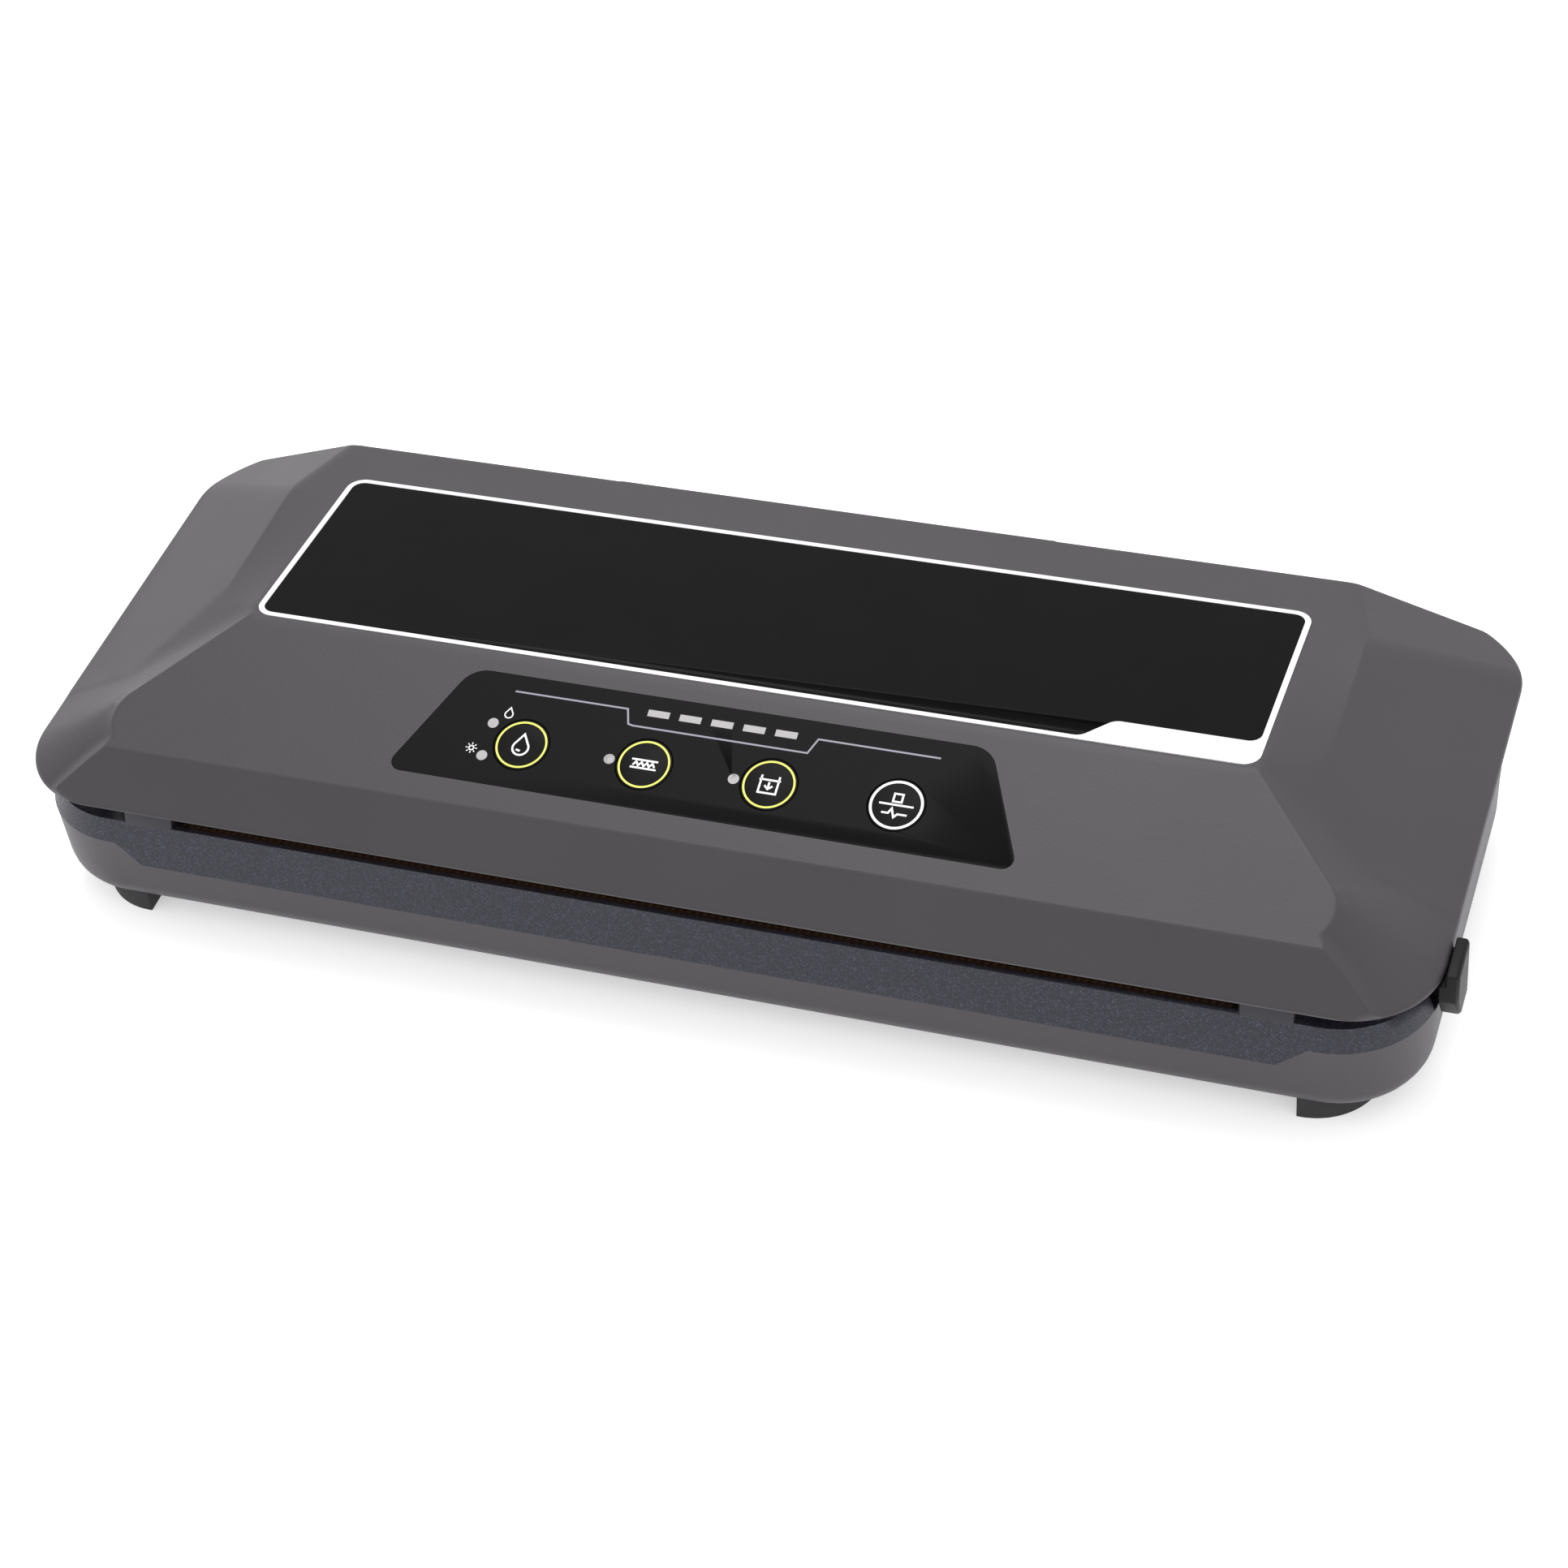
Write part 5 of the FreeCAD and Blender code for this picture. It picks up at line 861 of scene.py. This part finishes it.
makeBagStops()
refined("lid_liner", "lidLiner", linerAbs)
refined("lock_lever", "lockLever", acetalBlack, 0.5, 3)
refined("panel_frame", "panelFrame", silver)
refined("top_panel", "topPanel", acrylic)
refined("control_overlay", "controlOverlay", film)
for side in ("front_left", "front_right", "rear_left", "rear_right"):
    words = side.split("_")
    refined("foot_" + side, "foot" + words[0].title() + words[1].title(), footRubber, 0.6, 3)
for key in ("mode", "seal", "vacuum_seal", "stop"):
    refined("button_" + key, "key" + key.title().replace("_", ""), film)
refined("status_lenses", "statusLenses", lensGrey)
refined("progress_lenses", "progressLenses", lensGrey)
refined("power_inlet", "powerInlet", partsBlack)
print("stage: CAD pieces refined")

nodeFinish = {
    "seal_bar": phenolic, "heating_strip": nichrome, "seal_tape": tape, "base_gasket": sponge,
    "housing_screws": steel,
    "latch_bar": steel, "latch_hook_left": nylonBlack, "latch_hook_right": nylonBlack, "motor_can": steel,
    "motor_rotor": coreSteel, "eccentric": steel, "pump_housing": nylonBlack, "pump_rod": nylonBlack,
    "diaphragm": footRubber, "valve_cover": nylonBlack, "pump_screws": steel, "vacuum_hose": silicone,
    "valve_coil": copperTape, "valve_plunger": steel, "power_board": board, "transformer": coreSteel,
    "board_components": partsBlack, "board_screws": steel, "inlet_pins": brass, "hinge_pin_left": steel,
    "hinge_pin_right": steel, "pressure_strip": siliconeBrown, "lid_gasket": sponge, "latch_keepers": steel,
    "liner_screws": steel, "control_board": board, "tact_switches": partsBlack, "indicator_leds": ledClear,
    "control_board_screws": steel,
}
for node, material in nodeFinish.items():
    frame["nodes"][node].data.materials.clear()
    frame["nodes"][node].data.materials.append(material)


# ---- printing on the key face ----
inkForm = {
    "lift": 0.012, "thick": 0.03, "lineWidth": 0.5, "signWidth": 0.55, "lampSignWidth": 0.35, "rayWidth": 0.28,
    "wideRing": 1.3, "sharpest": 0.3,
}
dropForm = {"sink": 0.18, "belly": 0.42, "tip": 0.62}


def inkStrip(points, width, closed=False):  # flat ribbon of ink along a line on the sheet, in mm
    count = len(points)
    left, right = [], []
    for i in range(count):
        here = Vector(points[i])
        before = Vector(points[i - 1]) if (closed or i > 0) else None
        after = Vector(points[(i + 1) % count]) if (closed or i < count - 1) else None
        into = (here - before).normalized() if before is not None else (after - here).normalized()
        out = (after - here).normalized() if after is not None else into
        across = Vector((-(into + out).y, (into + out).x)).normalized()
        reach = width / 2 / max(inkForm["sharpest"], across.dot(Vector((-into.y, into.x))))
        left.append(here + across * reach)
        right.append(here - across * reach)
    points = [(p.x, p.y, inkForm["lift"]) for p in left + right]
    spans = range(count if closed else count - 1)
    faces = [(count + i, count + (i + 1) % count, (i + 1) % count, i) for i in spans]
    return newPiece("inkStrip", points, faces)


def arcPoints(x, v, radius, start, end, steps=16):
    angles = [math.radians(start + (end - start) * i / steps) for i in range(steps + 1)]
    return [(x + radius * math.cos(a), v + radius * math.sin(a)) for a in angles]


def ringPoints(x, v, radius, steps=96):
    return arcPoints(x, v, radius, 0, 360, steps)[:-1]


def finishInk(pieces, name, material, body):
    art = joinPieces(pieces, name)
    applyModifier(art, "SOLIDIFY", thickness=inkForm["thick"] * mm, offset=1)
    onKeyFace(art)
    paint(art, material)
    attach(art, body)
    return art


def dropPoints(x, v, size):  # a water drop, pointed at the top
    d = dropForm
    belly = arcPoints(x, v - size * d["sink"], size * d["belly"], -220, 40, 20)
    return belly + [(x, v + size * d["tip"])]


keyV = keyForm["v"]
ringInk = [limeInk, limeInk, limeInk, whiteInk]
bodies = ["mode_key", "seal_key", "vacuum_seal_key", "stop_key"]
names = ["Mode", "Seal", "VacuumSeal", "Stop"]
for i, x in enumerate(keyXs):
    width = keyForm["ringWidth"] * (inkForm["wideRing"] if i == 3 else 1.0)
    ring = inkStrip(ringPoints(x, keyV, keyForm["ringRadius"]), width, True)
    finishInk([ring], "ring" + names[i], ringInk[i], bodies[i])

# strokes of each key's sign round the key's middle, and whether the stroke is closed
signs = [
    [(dropPoints(0, 0, 5.2), True), ([(-1.1, -1.6), (0.1, -1.9)], False)],
    [
        ([(-3.6, 1.2), (3.6, 1.2)], False),
        ([(-3.6, -1.2), (3.6, -1.2)], False),
        ([(-3.0 + k * 0.75, 0.55 if k % 2 else -0.55) for k in range(9)], False),
    ],
    [
        ([(-2.4, 2.6), (-2.4, -2.6), (2.4, -2.6), (2.4, 2.6)], False),
        ([(-2.9, 1.3), (2.9, 1.3)], False),
        ([(-1.1, -0.4), (0, -1.4), (1.1, -0.4)], False),
        ([(0, 0.7), (0, -1.2)], False),
    ],
    [
        ([(-1.15, 0.9), (1.15, 0.9), (1.15, 3.2), (-1.15, 3.2)], True),
        ([(-4.6, 0), (4.6, 0)], False),
        ([(-3.4, -2.6), (-1.6, -2.6), (-0.9, -1.2), (0.1, -3.6), (0.9, -2.6), (3.4, -2.6)], False),
    ],
]
for i, strokes in enumerate(signs):
    pieces = []
    for points, closed in strokes:
        placed = [(keyXs[i] + x, keyV + v) for x, v in points]
        pieces.append(inkStrip(placed, inkForm["signWidth"], closed))
    finishInk(pieces, "sign" + names[i], whiteInk, bodies[i])

guide = [(-58.3, 28.6), (-26.4, 28.6), (-25.0, 24.2), (-23.7, 23.9), (24.65, 23.9), (26.5, 28.4), (59.6, 28.4)]
finishInk([inkStrip(guide, inkForm["lineWidth"])], "guideLine", greyInk, "lid")
sunForm = {"place": (-64.9, 9.9), "radius": 0.65, "sides": 24, "rays": 8, "inner": 1.05, "outer": 1.6}
sunX, sunV = sunForm["place"]
lampSigns = [
    inkStrip(dropPoints(-57.9, 21.9, 2.6), inkForm["lampSignWidth"], True),
    inkStrip(ringPoints(sunX, sunV, sunForm["radius"], sunForm["sides"]), inkForm["lampSignWidth"], True),
]
for k in range(sunForm["rays"]):
    a = math.tau / sunForm["rays"] * k
    ends = (sunForm["inner"], sunForm["outer"])
    ray = [(sunX + away * math.cos(a), sunV + away * math.sin(a)) for away in ends]
    lampSigns.append(inkStrip(ray, inkForm["rayWidth"]))
finishInk(lampSigns, "lampSigns", whiteInk, "lid")
print("stage: printing made")


# ---- floor, light and camera ----
studio = {
    "floorSize": 8.0, "worldStrength": 0.95, "keyPower": 26.0, "keySize": 1.3, "keyPlace": (-0.2, 0.8, 2.1),
}
bpy.ops.mesh.primitive_plane_add(size=studio["floorSize"])
floor = bpy.context.active_object
floor.name = "floor"
floor.data.materials.append(floorPaper)

world = bpy.data.worlds.new("studio")
world.use_nodes = True
background = world.node_tree.nodes["Background"]
background.inputs["Color"].default_value = (1.0, 1.0, 1.0, 1.0)
background.inputs["Strength"].default_value = studio["worldStrength"]
bpy.context.scene.world = world

bpy.ops.object.light_add(type="AREA", location=studio["keyPlace"])
softbox = bpy.context.active_object
softbox.data.energy = studio["keyPower"]
softbox.data.size = studio["keySize"]
softbox.rotation_euler = (-Vector(studio["keyPlace"])).to_track_quat("-Z", "Y").to_euler()

view = {
    "azimuth": 22.589, "elevation": 42.832, "roll": -6.668, "distance": 1.05357,
    "target": (-0.004688, 0.019, 0.0), "lens": 85.58, "sensor": 36.0,
}
azimuth, elevation, roll = (math.radians(view[k]) for k in ("azimuth", "elevation", "roll"))
back = Vector((
    math.sin(azimuth) * math.cos(elevation), -math.cos(azimuth) * math.cos(elevation), math.sin(elevation)
))
level = Vector((math.cos(azimuth), math.sin(azimuth), 0))
rise = level.cross(-back)
across = math.cos(roll) * level + math.sin(roll) * rise
upward = -math.sin(roll) * level + math.cos(roll) * rise
turn = Matrix((across, upward, back)).transposed().to_4x4()
bpy.ops.object.camera_add()
camera = bpy.context.active_object
camera.matrix_world = Matrix.Translation(Vector(view["target"]) + back * view["distance"]) @ turn
camera.data.lens = view["lens"]
camera.data.sensor_width = view["sensor"]
bpy.context.scene.camera = camera
bpy.context.scene.view_settings.view_transform = "Standard"
print("stage: studio made")
